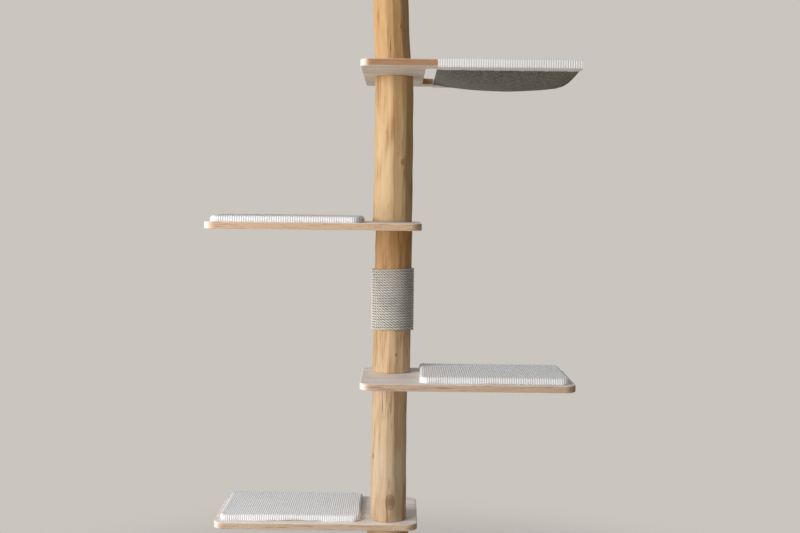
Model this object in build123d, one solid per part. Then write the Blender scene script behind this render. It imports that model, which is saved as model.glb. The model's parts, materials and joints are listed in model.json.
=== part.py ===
from build123d import *
import os
from dataclasses import dataclass
from math import cos, pi, sin, sqrt

# All sizes are in millimetres. The column stands on its axis, +Z up, the floor at zero.
# -Y faces the room and +X is to the right of someone who stands there.

# Heights that the column is stacked from
ceiling_height = 2450
floor_mat_thickness = 3
base_thickness = 24
board_thickness = 18
log_length = 395
exposed_thread = 81.5

# Boards
base_width = 500
board_length = 560
board_width = 290
stud_from_board_end = 78
stud_from_board_side = 66
board_corner_radius = 30
board_arris = 1.5

# Logs, each with its diameters and how far it stands to the right of the axis
log_end_chamfer = 4
flats_on_log = 14
flat_depth = 0.012
flat_unevenness = 0.09
wave_round_log = 1.9
wave_up_log = 2.5
spacing_wave = 3
levels_on_log = 3
bottom_log_foot_diameter = 122
bottom_log_head_diameter = 115
bottom_log_foot_shift = 0
bottom_log_head_shift = -3
bottom_log_bow = -1
lower_log_foot_diameter = 100
lower_log_head_diameter = 97
lower_log_foot_shift = -2.5
lower_log_head_shift = -1
lower_log_bow = -1
middle_log_foot_diameter = 106
middle_log_head_diameter = 102
middle_log_foot_shift = 1.5
middle_log_head_shift = 5.5
middle_log_bow = 0
upper_log_foot_diameter = 109
upper_log_head_diameter = 104
upper_log_foot_shift = 1.5
upper_log_head_shift = 2
upper_log_bow = 1
top_log_foot_diameter = 99
top_log_head_diameter = 94
top_log_foot_shift = -1
top_log_head_shift = 0
top_log_bow = -12

# Threaded parts that hold the stack together
stud_diameter = 10
stud_engagement = 24
insert_diameter = 16
insert_length = 25
insert_recess = 0.5
stud_hole_clearance = 1
stud_hole_spare_depth = 4
thread_clearance = 0.05
swivel_clearance = 0.08
thread_end_chamfer = 1.2
bolt_head_width = 16
bolt_head_height = 6.4
bolt_washer_diameter = 21
washer_thickness = 2
washer_clearance = 0.5
counterbore_diameter = 26
counterbore_depth = 9.4

# Rope winding on the middle log
rope_turns = 23
rope_pitch = 7.2
rope_diameter = 6.6
rope_sides = 6
rope_bedding_gap = 0.3
rope_bend_radius = 8
rope_foot_above_board = 118
rope_hole_clearance = 0.3
gap_steps_per_arc = 4

# Cushions
cushion_length = 395
cushion_width = 258
cushion_thickness = 20
cushion_from_board_end = 11
cushion_from_board_front = 21
cushion_corner_radius = 24
cushion_side_draw = 3
cushion_edge_roll = 6
cushion_crown = 2.5
cushion_crown_inset = 42
cover_thickness = 2
foam_gap = 0.5

# Hammock
hammock_reach = 472
hammock_depth = 510
hammock_arm_width = 57
hammock_bar_width = 165
hammock_corner_radius = 26
hammock_cutout_radius = 20
sleeve_start = 112
sleeve_overhang = 3
sleeve_side_gap = 0.8
sleeve_top_gap = 0.5
sleeve_bottom_gap = 4.5
cloth_thickness = 2.5
sleeve_corner_radius = 5
trough_sag = 31.5
trough_end_sag = 5.5
trough_fullness = 0.45
trough_lean = 5
trough_stations = 8
felt_thickness = 3
felt_gap = 0.3

# Tensioner between the top log and the ceiling
spindle_diameter = 16
spindle_grip = 140
spindle_travel = 50
spindle_spare_depth = 10
spindle_hole_clearance = 1
collar_diameter = 90
collar_thickness = 5
collar_hole_clearance = 0.3
nut_width = 24
nut_corner_chamfer = 1
nut_height = 13
lock_nut_height = 8
thrust_washer_diameter = 30
thrust_washer_thickness = 3
flange_diameter = 90
flange_thickness = 5
flange_boss_diameter = 28
flange_boss_height = 15
ceiling_plate_width = 200
ceiling_pad_thickness = 3
ceiling_screw_spacing = 150
ceiling_screw_hole = 5
plate_screw_diameter = 5
plate_screw_length = 16
plate_screw_circle = 66
plate_screws = 4
screw_head_diameter = 9
screw_head_height = 2.5

# Heights that follow from the stack
base_top = floor_mat_thickness + base_thickness
lower_board_bottom = base_top + log_length
lower_board_top = lower_board_bottom + board_thickness
middle_board_bottom = lower_board_top + log_length
middle_board_top = middle_board_bottom + board_thickness
upper_board_bottom = middle_board_top + log_length
upper_board_top = upper_board_bottom + board_thickness
frame_bottom = upper_board_top + log_length
frame_top = frame_bottom + board_thickness

# Heights that follow from the ceiling down
plate_top = ceiling_height - ceiling_pad_thickness
plate_bottom = plate_top - board_thickness
flange_bottom = plate_bottom - flange_thickness
boss_bottom = flange_bottom - flange_boss_height
lock_nut_top = boss_bottom - exposed_thread
nut_top = lock_nut_top - lock_nut_height
thrust_washer_top = nut_top - nut_height
collar_top = thrust_washer_top - thrust_washer_thickness
column_top = collar_top - collar_thickness
top_log_length = column_top - frame_top

# Places on the hammock that its board and its cloth share
cutout_start = hammock_bar_width / 2
hammock_gap = hammock_depth - 2 * hammock_arm_width
sleeve_end = hammock_reach + sleeve_overhang
sleeve_wall = hammock_gap / 2 - sleeve_side_gap - cloth_thickness
trough_edge = sleeve_wall + cloth_thickness / 2
trough_top = frame_bottom + board_thickness / 4


@dataclass
class Log:
    """One length of peeled trunk, with the small lean and bow that it grew with."""

    bottom: float
    length: float
    foot_diameter: float
    head_diameter: float
    foot_shift: float
    head_shift: float
    bow: float
    turn: float

    @property
    def top(self):
        return self.bottom + self.length

    def share(self, height):
        return (height - self.bottom) / self.length

    def diameter(self, height):
        share = self.share(height)
        return self.foot_diameter * (1 - share) + self.head_diameter * share

    def centre(self, height):
        share = self.share(height)
        straight = self.foot_shift * (1 - share) + self.head_shift * share
        return straight + self.bow * sin(pi * share)


bottom_log = Log(
    base_top, log_length, bottom_log_foot_diameter, bottom_log_head_diameter,
    bottom_log_foot_shift, bottom_log_head_shift, bottom_log_bow, 0.4,
)
lower_log = Log(
    lower_board_top, log_length, lower_log_foot_diameter, lower_log_head_diameter,
    lower_log_foot_shift, lower_log_head_shift, lower_log_bow, 1.7,
)
middle_log = Log(
    middle_board_top, log_length, middle_log_foot_diameter, middle_log_head_diameter,
    middle_log_foot_shift, middle_log_head_shift, middle_log_bow, 2.9,
)
upper_log = Log(
    upper_board_top, log_length, upper_log_foot_diameter, upper_log_head_diameter,
    upper_log_foot_shift, upper_log_head_shift, upper_log_bow, 4.1,
)
top_log = Log(
    frame_top, top_log_length, top_log_foot_diameter, top_log_head_diameter,
    top_log_foot_shift, top_log_head_shift, top_log_bow, 5.3,
)

spindle_hole_bottom = column_top - spindle_grip - spindle_travel - spindle_spare_depth
rope_bottom = middle_board_top + rope_foot_above_board
rope_height = rope_turns * rope_pitch
rope_middle = rope_bottom + rope_height / 2
rope_bed_radius = middle_log.diameter(rope_middle) / 2
rope_line_radius = rope_bed_radius + rope_bedding_gap + rope_diameter / 2
rope_centre = middle_log.centre(rope_middle)


def rod(diameter, bottom, top, x=0, y=0):
    """A round bar, or the hole for one, from one height to another."""
    upright = (Align.CENTER, Align.CENTER, Align.MIN)
    return Pos(x, y, bottom) * Cylinder(diameter / 2, top - bottom, align=upright)


def ring(outer, inner, bottom, top):
    return rod(outer, bottom, top) - rod(inner, bottom, top)


def threaded_bar(diameter, bottom, top):
    """A bar with the lead-in chamfer of a cut thread at both ends."""
    bar = rod(diameter, bottom, top)
    return chamfer(bar.edges().filter_by(GeomType.CIRCLE), thread_end_chamfer)


def hexagon(width, bottom, top):
    """A hexagonal bar of a spanner width, with its corners turned off as on a nut."""
    section = RegularPolygon(width / 2, 6, major_radius=False)
    flats = Pos(0, 0, bottom) * extrude(section, top - bottom)
    corner_diameter = width * 2 / sqrt(3)
    turned = chamfer(rod(corner_diameter, bottom, top).edges().filter_by(GeomType.CIRCLE), nut_corner_chamfer)
    return flats & turned


def places_on_circle(diameter, count):
    """Places spread round a circle, midway between the row axes."""
    angles = [2 * pi * (place + 0.5) / count for place in range(count)]
    return [(diameter / 2 * cos(angle), diameter / 2 * sin(angle)) for angle in angles]


def log_outline(log, height, inset=0):
    """The many-sided outline that a drawknife leaves, at one height of a log."""
    share = log.share(height)
    radius = log.diameter(height) / 2 - inset
    corners = []
    for flat in range(flats_on_log):
        angle = 2 * pi * flat / flats_on_log + flat_unevenness * sin(spacing_wave * flat + log.turn)
        reach = radius * (1 + flat_depth * sin(wave_round_log * flat + wave_up_log * share + log.turn))
        corners.append((log.centre(height) + reach * cos(angle), reach * sin(angle), height))
    return Wire.make_polygon(corners)


def peeled_log(log):
    """A log with long drawknifed flats and chamfered ends."""
    first = log.bottom + log_end_chamfer
    last = log.top - log_end_chamfer
    outlines = [log_outline(log, log.bottom, log_end_chamfer)]
    for level in range(levels_on_log + 1):
        outlines.append(log_outline(log, first + (last - first) * level / levels_on_log))
    outlines.append(log_outline(log, log.top, log_end_chamfer))
    return Solid.make_loft(outlines, ruled=True)


def stud_socket(face, inward):
    """The stepped hole in a log end for a threaded insert and the stud behind it."""
    insert_end = face + inward * (insert_recess + insert_length)
    hole_end = insert_end + inward * stud_hole_spare_depth
    wide = rod(insert_diameter, min(face, insert_end), max(face, insert_end))
    narrow = rod(stud_diameter + stud_hole_clearance, min(face, hole_end), max(face, hole_end))
    return wide + narrow


def insert_nut(face, inward):
    """A threaded insert seated at the foot of its socket."""
    near = face + inward * insert_recess
    far = near + inward * insert_length
    bottom, top = min(near, far), max(near, far)
    return ring(insert_diameter, stud_diameter + 2 * thread_clearance, bottom, top)


def rope_point(turn):
    """Place, heading and outward direction of the rope's centre line after so many turns."""
    angle = 2 * pi * turn
    climb = rope_pitch / (2 * pi * rope_line_radius)
    outward = Vector(cos(angle), sin(angle), 0)
    heading = Vector(-sin(angle), cos(angle), climb).normalized()
    foot = Vector(rope_centre, 0, rope_bottom + rope_pitch * turn)
    return foot + outward * rope_line_radius, heading, outward


def quarter_turn(start, heading, end, end_heading):
    """Two arcs that join two points of the winding and leave both along it."""
    chord = end - start
    both = heading + end_heading
    spread = 4 - both.dot(both)
    along = chord.dot(both)
    reach = (sqrt(along * along + spread * chord.dot(chord)) - along) / spread
    leaving = start + heading * reach
    arriving = end - end_heading * reach
    joint = (leaving + arriving) / 2
    first = TangentArc(start, joint, tangent=heading)
    second = TangentArc(joint, end, tangent=(arriving - leaving).normalized())
    return [first, second]


def rope_end(turn, side):
    """The bend into the log and the straight stub in its hole, side -1 before the winding."""
    place, heading, outward = rope_point(turn)
    mouth = place - outward * rope_bend_radius + heading * side * rope_bend_radius
    bend = TangentArc(place, mouth, tangent=heading * side)
    stub = Line(mouth, mouth - outward * rope_diameter)
    return [bend, stub]


def rope_route():
    """The unbroken line of the rope, from the hole at its foot to the hole at its head."""
    edges = rope_end(0, -1)
    for quarter in range(4 * rope_turns):
        start, heading, _ = rope_point(quarter / 4)
        end, end_heading, _ = rope_point((quarter + 1) / 4)
        edges += quarter_turn(start, heading, end, end_heading)
    edges += rope_end(rope_turns, 1)
    return Wire(edges)


def stub_and_bend(turn, side):
    """The hole in the log that one end of the rope goes into."""
    place, heading, outward = rope_point(turn)
    bend, stub = rope_end(turn, side)
    route = Wire([stub, bend])
    end = place - outward * (rope_bend_radius + rope_diameter) + heading * side * rope_bend_radius
    section = Plane(origin=end, z_dir=outward) * Circle(rope_diameter / 2 + rope_hole_clearance)
    return Solid.sweep(section.wire(), route)


def rope_solid():
    """The winding as one tube of flat-sided section along its whole route."""
    route = rope_route()
    place, heading, outward = rope_point(0)
    end = place - outward * (rope_bend_radius + rope_diameter) - heading * rope_bend_radius
    section = Plane(origin=end, z_dir=outward) * RegularPolygon(rope_diameter / 2, rope_sides)
    tube = Solid.sweep(section.wire(), route, is_frenet=True)
    print("rope length", round(route.length), "volume over section times length",
          round(tube.volume / (section.area * route.length), 4))
    print("rope's least gap to itself", round(least_rope_gap(), 2))
    return tube


def least_rope_gap():
    """The least distance between one turn of the winding and any other, on points along it."""
    steps = 8 * gap_steps_per_arc
    points = [rope_point(step / steps)[0] for step in range(rope_turns * steps + 1)]
    apart = [
        (points[here] - points[there]).length
        for here in range(len(points))
        for there in range(here + steps // 2, min(here + 2 * steps, len(points)))
    ]
    return min(apart) - rope_diameter


def middle_log_solid():
    """The log that carries the rope, with the winding's bed pressed round and its two holes."""
    solid = peeled_log(middle_log)
    low = rope_bottom - rope_diameter
    high = rope_bottom + rope_height + rope_diameter
    outer = 2 * (rope_line_radius + rope_diameter)
    waste = Pos(rope_centre) * ring(outer, 2 * rope_bed_radius, low, high)
    solid -= waste
    solid -= stub_and_bend(0, -1)
    solid -= stub_and_bend(rope_turns, 1)
    return solid


def eased(board, arris):
    """A board with its long arrises taken off, above and below."""
    faces = board.faces().sort_by(Axis.Z)
    return chamfer(faces[-1].edges() + faces[0].edges(), arris)


def square_board(width, thickness, bottom):
    return Pos(0, 0, bottom) * extrude(RectangleRounded(width, width, board_corner_radius), thickness)


def shelf_board(bottom, toward_x, toward_y):
    """A shelf that reaches to one side, held at a stud hole near one corner."""
    x = toward_x * (board_length / 2 - stud_from_board_end)
    y = toward_y * (board_width / 2 - stud_from_board_side)
    plan = RectangleRounded(board_length, board_width, board_corner_radius)
    board = eased(Pos(x, y, bottom) * extrude(plan, board_thickness), board_arris)
    return board - stud_hole_in_board(bottom)


def stud_hole_in_board(bottom):
    return rod(stud_diameter + 2 * swivel_clearance, bottom, bottom + board_thickness)


def cushion_outline(inset, height):
    """A cushion's plan at one height: drawn-in sides between rounded corners."""
    half_x = cushion_length / 2 - inset
    half_y = cushion_width / 2 - inset
    radius = cushion_corner_radius
    cut = radius * (1 - sqrt(0.5))
    edges = []
    for turn in range(4):
        long, short = (half_x, half_y) if turn % 2 == 0 else (half_y, half_x)
        spin = Rot(0, 0, 90 * turn)
        side = ThreePointArc((radius - long, -short), (0, cushion_side_draw - short), (long - radius, -short))
        corner = ThreePointArc((long - radius, -short), (long - cut, cut - short), (long, radius - short))
        edges += [spin * side, spin * corner]
    return Wire([Pos(0, 0, height) * edge for edge in edges])


def cushion_cover_form(bottom):
    """Rolled edges, drawn-in sides and a low crown."""
    edge_height = cushion_thickness - cushion_crown
    steps = [
        (cushion_edge_roll - 1, 0),
        (0, cushion_edge_roll),
        (0, edge_height - cushion_edge_roll),
        (cushion_edge_roll, edge_height),
        (cushion_crown_inset, cushion_thickness),
    ]
    return Solid.make_loft([cushion_outline(inset, bottom + height) for inset, height in steps], ruled=True)


def cushion_foam_form(bottom, clearance):
    """The foam pad, or the room for it with a clearance all round."""
    inset = cover_thickness + foam_gap - clearance
    low = bottom + inset
    high = bottom + cushion_thickness - cushion_crown - inset
    outlines = [
        cushion_outline(inset + cushion_edge_roll, low),
        cushion_outline(inset, (low + high) / 2),
        cushion_outline(inset + cushion_edge_roll, high),
    ]
    return Solid.make_loft(outlines, ruled=True)


def cushion(bottom, toward_x, front):
    """A cover and its foam, placed on a board that reaches toward_x with its front at front."""
    x = toward_x * (board_length - stud_from_board_end - cushion_from_board_end - cushion_length / 2)
    y = front + cushion_from_board_front + cushion_width / 2
    cover = Pos(x, y) * (cushion_cover_form(bottom) - cushion_foam_form(bottom, foam_gap))
    foam = Pos(x, y) * cushion_foam_form(bottom, 0)
    return cover, foam


def hammock_board():
    """The U-shaped board: a cross-bar under the log and two arms that carry the cloth."""
    length = hammock_reach + hammock_bar_width - cutout_start
    plan = Pos(hammock_reach - length / 2, 0) * RectangleRounded(length, hammock_depth, hammock_corner_radius)
    cutout_length = hammock_reach - cutout_start + hammock_cutout_radius
    cutout = Pos(cutout_start + cutout_length / 2, 0) * RectangleRounded(
        cutout_length, hammock_gap, hammock_cutout_radius
    )
    mouth = Pos(hammock_reach, 0) * Rectangle(2 * hammock_cutout_radius, hammock_gap)
    board = Pos(0, 0, frame_bottom) * extrude(plan - cutout - mouth, board_thickness)
    return eased(board, board_arris) - stud_hole_in_board(frame_bottom)


def sleeve(side):
    """A cloth tunnel round one arm, loose underneath."""
    width = hammock_arm_width + 2 * sleeve_side_gap
    low = frame_bottom - sleeve_bottom_gap
    high = frame_top + sleeve_top_gap
    centre_y = side * (hammock_depth / 2 - hammock_arm_width / 2)
    along = Plane(origin=(sleeve_start, centre_y, (low + high) / 2), z_dir=(1, 0, 0), x_dir=(0, 1, 0))
    inside = RectangleRounded(width, high - low, sleeve_corner_radius - cloth_thickness)
    outside = offset(inside, cloth_thickness)
    return extrude(along * (outside - inside), sleeve_end - sleeve_start)


def bed_height(share, y):
    """Height of the hanging bed at a share of its length, on one arc from sleeve to sleeve."""
    fullness = sin(pi * share) ** trough_fullness
    sag = trough_end_sag + (trough_sag - trough_end_sag) * fullness + trough_lean * (share - 0.5)
    radius = (trough_edge * trough_edge + sag * sag) / (2 * sag)
    return trough_top - sag + radius - sqrt(radius * radius - y * y)


def trough_section(share, drop, thickness, edge):
    """A slice across the hanging bed, one arc above another."""
    x = sleeve_start + (sleeve_end - sleeve_start) * share
    high = bed_height(share, edge) - drop
    low = bed_height(share, 0) - drop
    above = ThreePointArc((x, -edge, high), (x, 0, low), (x, edge, high))
    below = ThreePointArc((x, edge, high - thickness), (x, 0, low - thickness), (x, -edge, high - thickness))
    front = Line(below @ 1, above @ 0)
    back = Line(above @ 1, below @ 0)
    return Wire([above, back, below, front])


def trough(drop, thickness, edge):
    """A layer of the bed, hung so far below its top surface, with slices closer towards its ends."""
    steps = trough_stations - 1
    stations = [(1 - cos(pi * station / steps)) / 2 for station in range(trough_stations)]
    return Solid.make_loft([trough_section(share, drop, thickness, edge) for share in stations], ruled=True)


def hammock_cloth():
    """Both sleeves and the bed between them, sewn as one."""
    bed = trough(0, cloth_thickness, trough_edge)
    return sleeve(-1) + sleeve(1) + bed


def hammock_felt():
    """The grey underside, a layer of its own below the bed."""
    return trough(cloth_thickness + felt_gap, felt_thickness, sleeve_wall - felt_gap)


def countersunk_screws(face, inward):
    """Four plate screws, their heads flush with a face."""
    screws = []
    for x, y in places_on_circle(plate_screw_circle, plate_screws):
        head_end = face + inward * screw_head_height
        tip = face + inward * plate_screw_length
        head = Pos(x, y, (face + head_end) / 2) * Cone(
            screw_head_diameter / 2 if inward > 0 else plate_screw_diameter / 2,
            plate_screw_diameter / 2 if inward > 0 else screw_head_diameter / 2,
            screw_head_height,
        )
        screws.append(head + rod(plate_screw_diameter, min(head_end, tip), max(head_end, tip), x, y))
    return screws


def save(name, shape):
    export_step(shape, f"parts/{name}.step")


def save_group(name, solids):
    save(name, Compound(solids))


def make_base():
    mat = square_board(base_width, floor_mat_thickness, 0)
    head_bottom = floor_mat_thickness + counterbore_depth - washer_thickness - bolt_head_height
    washer_bottom = head_bottom + bolt_head_height
    washer_top = washer_bottom + washer_thickness
    plate = eased(square_board(base_width, base_thickness, floor_mat_thickness), board_arris)
    plate -= rod(counterbore_diameter, floor_mat_thickness, washer_top)
    plate -= rod(stud_diameter + stud_hole_clearance, floor_mat_thickness, base_top)
    bolt = hexagon(bolt_head_width, head_bottom, washer_bottom)
    bolt += threaded_bar(stud_diameter, washer_bottom - thread_end_chamfer, base_top + stud_engagement)
    save("floor_mat", mat)
    save("base_plate", plate)
    save("base_bolt", bolt)
    washer = ring(bolt_washer_diameter, stud_diameter + washer_clearance, washer_bottom, washer_top)
    save("base_washer", washer)


def make_logs():
    inserts = []
    studs = []
    named = {"bottom_log": bottom_log, "lower_log": lower_log, "middle_log": middle_log,
             "upper_log": upper_log, "top_log": top_log}
    for name, log in named.items():
        solid = middle_log_solid() if log is middle_log else peeled_log(log)
        solid -= stud_socket(log.bottom, 1)
        inserts.append(insert_nut(log.bottom, 1))
        if log is top_log:
            solid -= rod(spindle_diameter + 2 * spindle_hole_clearance, spindle_hole_bottom, log.top)
            for screw in countersunk_screws(collar_top, -1):
                solid -= screw
        else:
            solid -= stud_socket(log.top, -1)
            inserts.append(insert_nut(log.top, -1))
            stud_bottom = log.top - stud_engagement
            stud_top = log.top + board_thickness + stud_engagement
            studs.append(threaded_bar(stud_diameter, stud_bottom, stud_top))
        save(name, solid)
    save_group("insert_nuts", inserts)
    save_group("joint_studs", studs)
    save("rope_winding", rope_solid())


def make_shelves():
    front = stud_from_board_side - board_width
    places = {
        "lower": (lower_board_bottom, -1, 1, -stud_from_board_side),
        "middle": (middle_board_bottom, 1, -1, front),
        "upper": (upper_board_bottom, -1, -1, front),
    }
    for name, (bottom, toward_x, toward_y, front_edge) in places.items():
        cover, foam = cushion(bottom + board_thickness, toward_x, front_edge)
        save(f"{name}_shelf", shelf_board(bottom, toward_x, toward_y))
        save(f"{name}_cushion_cover", cover)
        save(f"{name}_cushion_foam", foam)


def make_hammock():
    save("hammock_frame", hammock_board())
    save("hammock_cloth", hammock_cloth())
    save("hammock_felt", hammock_felt())


def make_tensioner():
    """From the collar on the top log up to the pad against the ceiling."""
    thread_bore = spindle_diameter + 2 * thread_clearance
    collar_bore = spindle_diameter + 2 * collar_hole_clearance

    collar_screws = countersunk_screws(collar_top, -1)
    collar = ring(collar_diameter, collar_bore, column_top, collar_top)
    for screw in collar_screws:
        collar -= screw
    flange_screws = countersunk_screws(flange_bottom, 1)
    flange = rod(flange_diameter, flange_bottom, plate_bottom)
    flange += rod(flange_boss_diameter, boss_bottom, flange_bottom)
    flange -= rod(spindle_diameter, boss_bottom, plate_bottom)
    plate = eased(square_board(ceiling_plate_width, board_thickness, plate_bottom), board_arris)
    for screw in flange_screws:
        flange -= screw
        plate -= screw
    pad = square_board(ceiling_plate_width, ceiling_pad_thickness, plate_top)
    half = ceiling_screw_spacing / 2
    for x in (-half, half):
        for y in (-half, half):
            plate -= rod(ceiling_screw_hole, plate_bottom, plate_top, x, y)
            pad -= rod(ceiling_screw_hole, plate_top, ceiling_height, x, y)

    save("thrust_collar", collar)
    save_group("collar_screws", collar_screws)
    save("thrust_washer", ring(thrust_washer_diameter, collar_bore, collar_top, thrust_washer_top))
    nut = hexagon(nut_width, thrust_washer_top, nut_top)
    save("adjusting_nut", nut - rod(thread_bore, thrust_washer_top, nut_top))
    save("lock_nut", hexagon(nut_width, nut_top, lock_nut_top) - rod(thread_bore, nut_top, lock_nut_top))
    save("spindle", threaded_bar(spindle_diameter, column_top - spindle_grip, plate_bottom))
    save("spindle_flange", flange)
    save_group("flange_screws", flange_screws)
    save("ceiling_plate", plate)
    save("ceiling_pad", pad)


os.makedirs("parts", exist_ok=True)
make_base()
make_logs()
make_shelves()
make_hammock()
make_tensioner()
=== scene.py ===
import json
from dataclasses import dataclass
from math import cos, pi, radians, sin

import bpy
import numpy as np
from mathutils import Matrix, Vector

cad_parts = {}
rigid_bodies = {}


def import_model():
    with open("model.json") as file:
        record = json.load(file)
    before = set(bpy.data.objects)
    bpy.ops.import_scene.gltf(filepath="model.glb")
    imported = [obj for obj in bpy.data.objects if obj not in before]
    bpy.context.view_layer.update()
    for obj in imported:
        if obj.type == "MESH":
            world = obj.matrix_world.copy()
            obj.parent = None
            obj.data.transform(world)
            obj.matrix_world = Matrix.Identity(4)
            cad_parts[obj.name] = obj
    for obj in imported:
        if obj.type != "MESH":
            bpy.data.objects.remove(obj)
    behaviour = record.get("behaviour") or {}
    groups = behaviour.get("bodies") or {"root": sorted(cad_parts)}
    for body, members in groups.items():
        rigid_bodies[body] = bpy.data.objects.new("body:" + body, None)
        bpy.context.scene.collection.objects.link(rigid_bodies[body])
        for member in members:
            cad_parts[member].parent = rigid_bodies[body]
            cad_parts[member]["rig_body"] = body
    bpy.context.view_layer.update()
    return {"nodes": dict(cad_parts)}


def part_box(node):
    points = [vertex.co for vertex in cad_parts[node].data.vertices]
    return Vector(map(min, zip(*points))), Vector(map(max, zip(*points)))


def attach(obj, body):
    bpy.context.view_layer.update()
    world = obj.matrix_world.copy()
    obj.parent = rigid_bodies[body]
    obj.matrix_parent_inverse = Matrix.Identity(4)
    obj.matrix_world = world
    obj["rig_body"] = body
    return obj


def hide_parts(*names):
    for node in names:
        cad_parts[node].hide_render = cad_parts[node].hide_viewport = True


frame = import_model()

bl_info = {
    "name": "Floor-to-ceiling cat tree",
    "version": (1, 0, 0),
    "blender": (4, 5, 0),
    "location": "3D View > Sidebar > Cat tree",
    "description": "Dresses the packed cat tree with its logs, boards, rope and fabric",
    "category": "Object",
}

# Lengths are in metres. The floor is at zero, +Z is up and -Y faces the room.
MM = 0.001


def paint(red, green, blue):
    """A colour from a paint chart, 0 to 255 each, as the light that it sends back."""
    levels = [level / 255 for level in (red, green, blue)]
    return tuple(
        level / 12.92 if level <= 0.04045 else ((level + 0.055) / 1.055) ** 2.4 for level in levels
    ) + (1.0,)


def length_of(name, description, default):
    return bpy.props.FloatProperty(
        name=name, description=description, default=default, unit="LENGTH", precision=4
    )


def colour_of(name, description, default):
    return bpy.props.FloatVectorProperty(
        name=name, description=description, default=default, subtype="COLOR", size=4, min=0, max=1
    )


class TreeSizes(bpy.types.PropertyGroup):
    """Sizes that the finished pieces are made from."""

    rib_pitch: length_of("Rib pitch", "From one corduroy rib to the next", 6 * MM)
    rib_height: length_of("Rib height", "How far a corduroy rib stands out of its groove", 1.0 * MM)
    cushion_puff: length_of("Cushion puff", "The most that the cloth of a cushion may swell", 3 * MM)
    rope_lay: length_of("Rope lay", "Length of rope in which a strand goes round once", 29 * MM)
    stitch_length: length_of("Stitch length", "From one stitch to the next", 3.5 * MM)
    thread_pitch: length_of("Thread pitch", "Rise of the spindle in one turn", 2 * MM)
    thread_depth: length_of("Thread depth", "Depth of the spindle's thread", 1.1 * MM)
    knife_cuts: bpy.props.IntProperty(
        name="Knife cuts", description="Drawknife cuts on each length of trunk", default=46, min=0
    )


class TreeColours(bpy.types.PropertyGroup):
    """Colours of the finishes."""

    grain: colour_of("Grain", "What the darker grain of the trunk lets through", paint(226, 208, 186))
    inner_bark: colour_of("Inner bark", "What the drawknife left of the bast", paint(120, 86, 56))
    knot: colour_of("Knot", "Heart of a knot", paint(84, 54, 34))
    birch_face: colour_of("Birch face", "Face veneer of the boards", paint(244, 238, 234))
    birch_edge: colour_of("Birch edge", "Plies that show their length on an edge", paint(234, 212, 190))
    birch_cross: colour_of("Birch cross ply", "Plies that show their ends on an edge", paint(212, 188, 164))
    corduroy: colour_of("Corduroy", "Ribs of the white corduroy", paint(240, 240, 241))
    # Partly the woven ground's own colour and partly painted shade in the grooves between the ribs.
    corduroy_ground_and_groove_shade: colour_of("Corduroy ground", "Cloth between the ribs", paint(216, 216, 216))
    felt: colour_of("Felt", "Underside of the hammock", paint(74, 74, 66))
    felt_fleck: colour_of("Felt fleck", "Pale fibres in the felt", paint(150, 150, 140))
    rope: colour_of("Rope", "Strands of the winding", paint(240, 239, 233))
    rope_shade: colour_of("Rope fibre", "Darker fibres of the rope", paint(206, 202, 190))
    seam: colour_of("Seam thread", "Thread of the seams", paint(214, 196, 168))
    zinc: colour_of("Zinc", "Plated steel", paint(186, 188, 188))
    rubber: colour_of("Pad rubber", "Pads on floor and ceiling", paint(58, 58, 60))
    backdrop: colour_of("Backdrop", "Plain background of the studio", paint(202, 197, 190))


# Node trees


class Value:
    """A node's socket that takes part in sums like a number."""

    def __init__(self, recipe, socket):
        self.recipe = recipe
        self.socket = socket

    def __add__(self, other):
        return self.recipe.maths("ADD", self, other)

    __radd__ = __add__

    def __sub__(self, other):
        return self.recipe.maths("SUBTRACT", self, other)

    def __rsub__(self, other):
        return self.recipe.maths("SUBTRACT", other, self)

    def __mul__(self, other):
        return self.recipe.maths("MULTIPLY", self, other)

    __rmul__ = __mul__

    def __truediv__(self, other):
        return self.recipe.maths("DIVIDE", self, other)

    def __pow__(self, other):
        return self.recipe.maths("POWER", self, other)

    def __abs__(self):
        return self.recipe.maths("ABSOLUTE", self)


class Recipe:
    """Writes the nodes of one tree."""

    def __init__(self, tree):
        self.tree = tree

    def node(self, kind, settings=None, values=None, output=0):
        """One node: its settings first, then the numbers or links of its sockets."""
        made = self.tree.nodes.new(kind)
        for name, value in (settings or {}).items():
            setattr(made, name, value)
        for key, value in (values or {}).items():
            if isinstance(value, Value):
                self.tree.links.new(value.socket, made.inputs[key])
            else:
                made.inputs[key].default_value = value
        return Value(self, made.outputs[output]) if len(made.outputs) else made

    def maths(self, operation, *values):
        return self.node("ShaderNodeMath", {"operation": operation}, dict(enumerate(values)))

    def vector(self, operation, *values, output=0):
        return self.node("ShaderNodeVectorMath", {"operation": operation}, dict(enumerate(values)), output)

    def scaled(self, vector, factor):
        return self.node("ShaderNodeVectorMath", {"operation": "SCALE"}, {0: vector, 3: factor})

    def parts(self, vector):
        """The x, y and z of a vector."""
        return [self.node("ShaderNodeSeparateXYZ", None, {0: vector}, axis) for axis in range(3)]

    def joined(self, x, y, z):
        return self.node("ShaderNodeCombineXYZ", None, {0: x, 1: y, 2: z})

    def fade(self, value, start, end, low=0.0, high=1.0):
        """Goes softly from low to high while value goes from start to end."""
        settings = {"interpolation_type": "SMOOTHSTEP", "clamp": True}
        return self.node("ShaderNodeMapRange", settings, {0: value, 1: start, 2: end, 3: low, 4: high})

    def blend(self, share, first, second, way="MIX"):
        settings = {"data_type": "RGBA", "blend_type": way}
        return self.node("ShaderNodeMix", settings, {0: share, 6: first, 7: second}, 2)

    def tinted(self, colour, *layers):
        """Lays tints over a colour, each as its pattern goes from start to end."""
        for pattern, start, end, strength, tint in layers:
            colour = self.blend(self.fade(pattern, start, end, 0, strength), colour, paint(*tint))
        return colour

    def noise(self, place, scale, detail=2.0, roughness=0.5, distortion=0.0):
        values = {"Vector": place, "Scale": scale, "Detail": detail, "Roughness": roughness}
        return self.node("ShaderNodeTexNoise", None, {**values, "Distortion": distortion})


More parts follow.
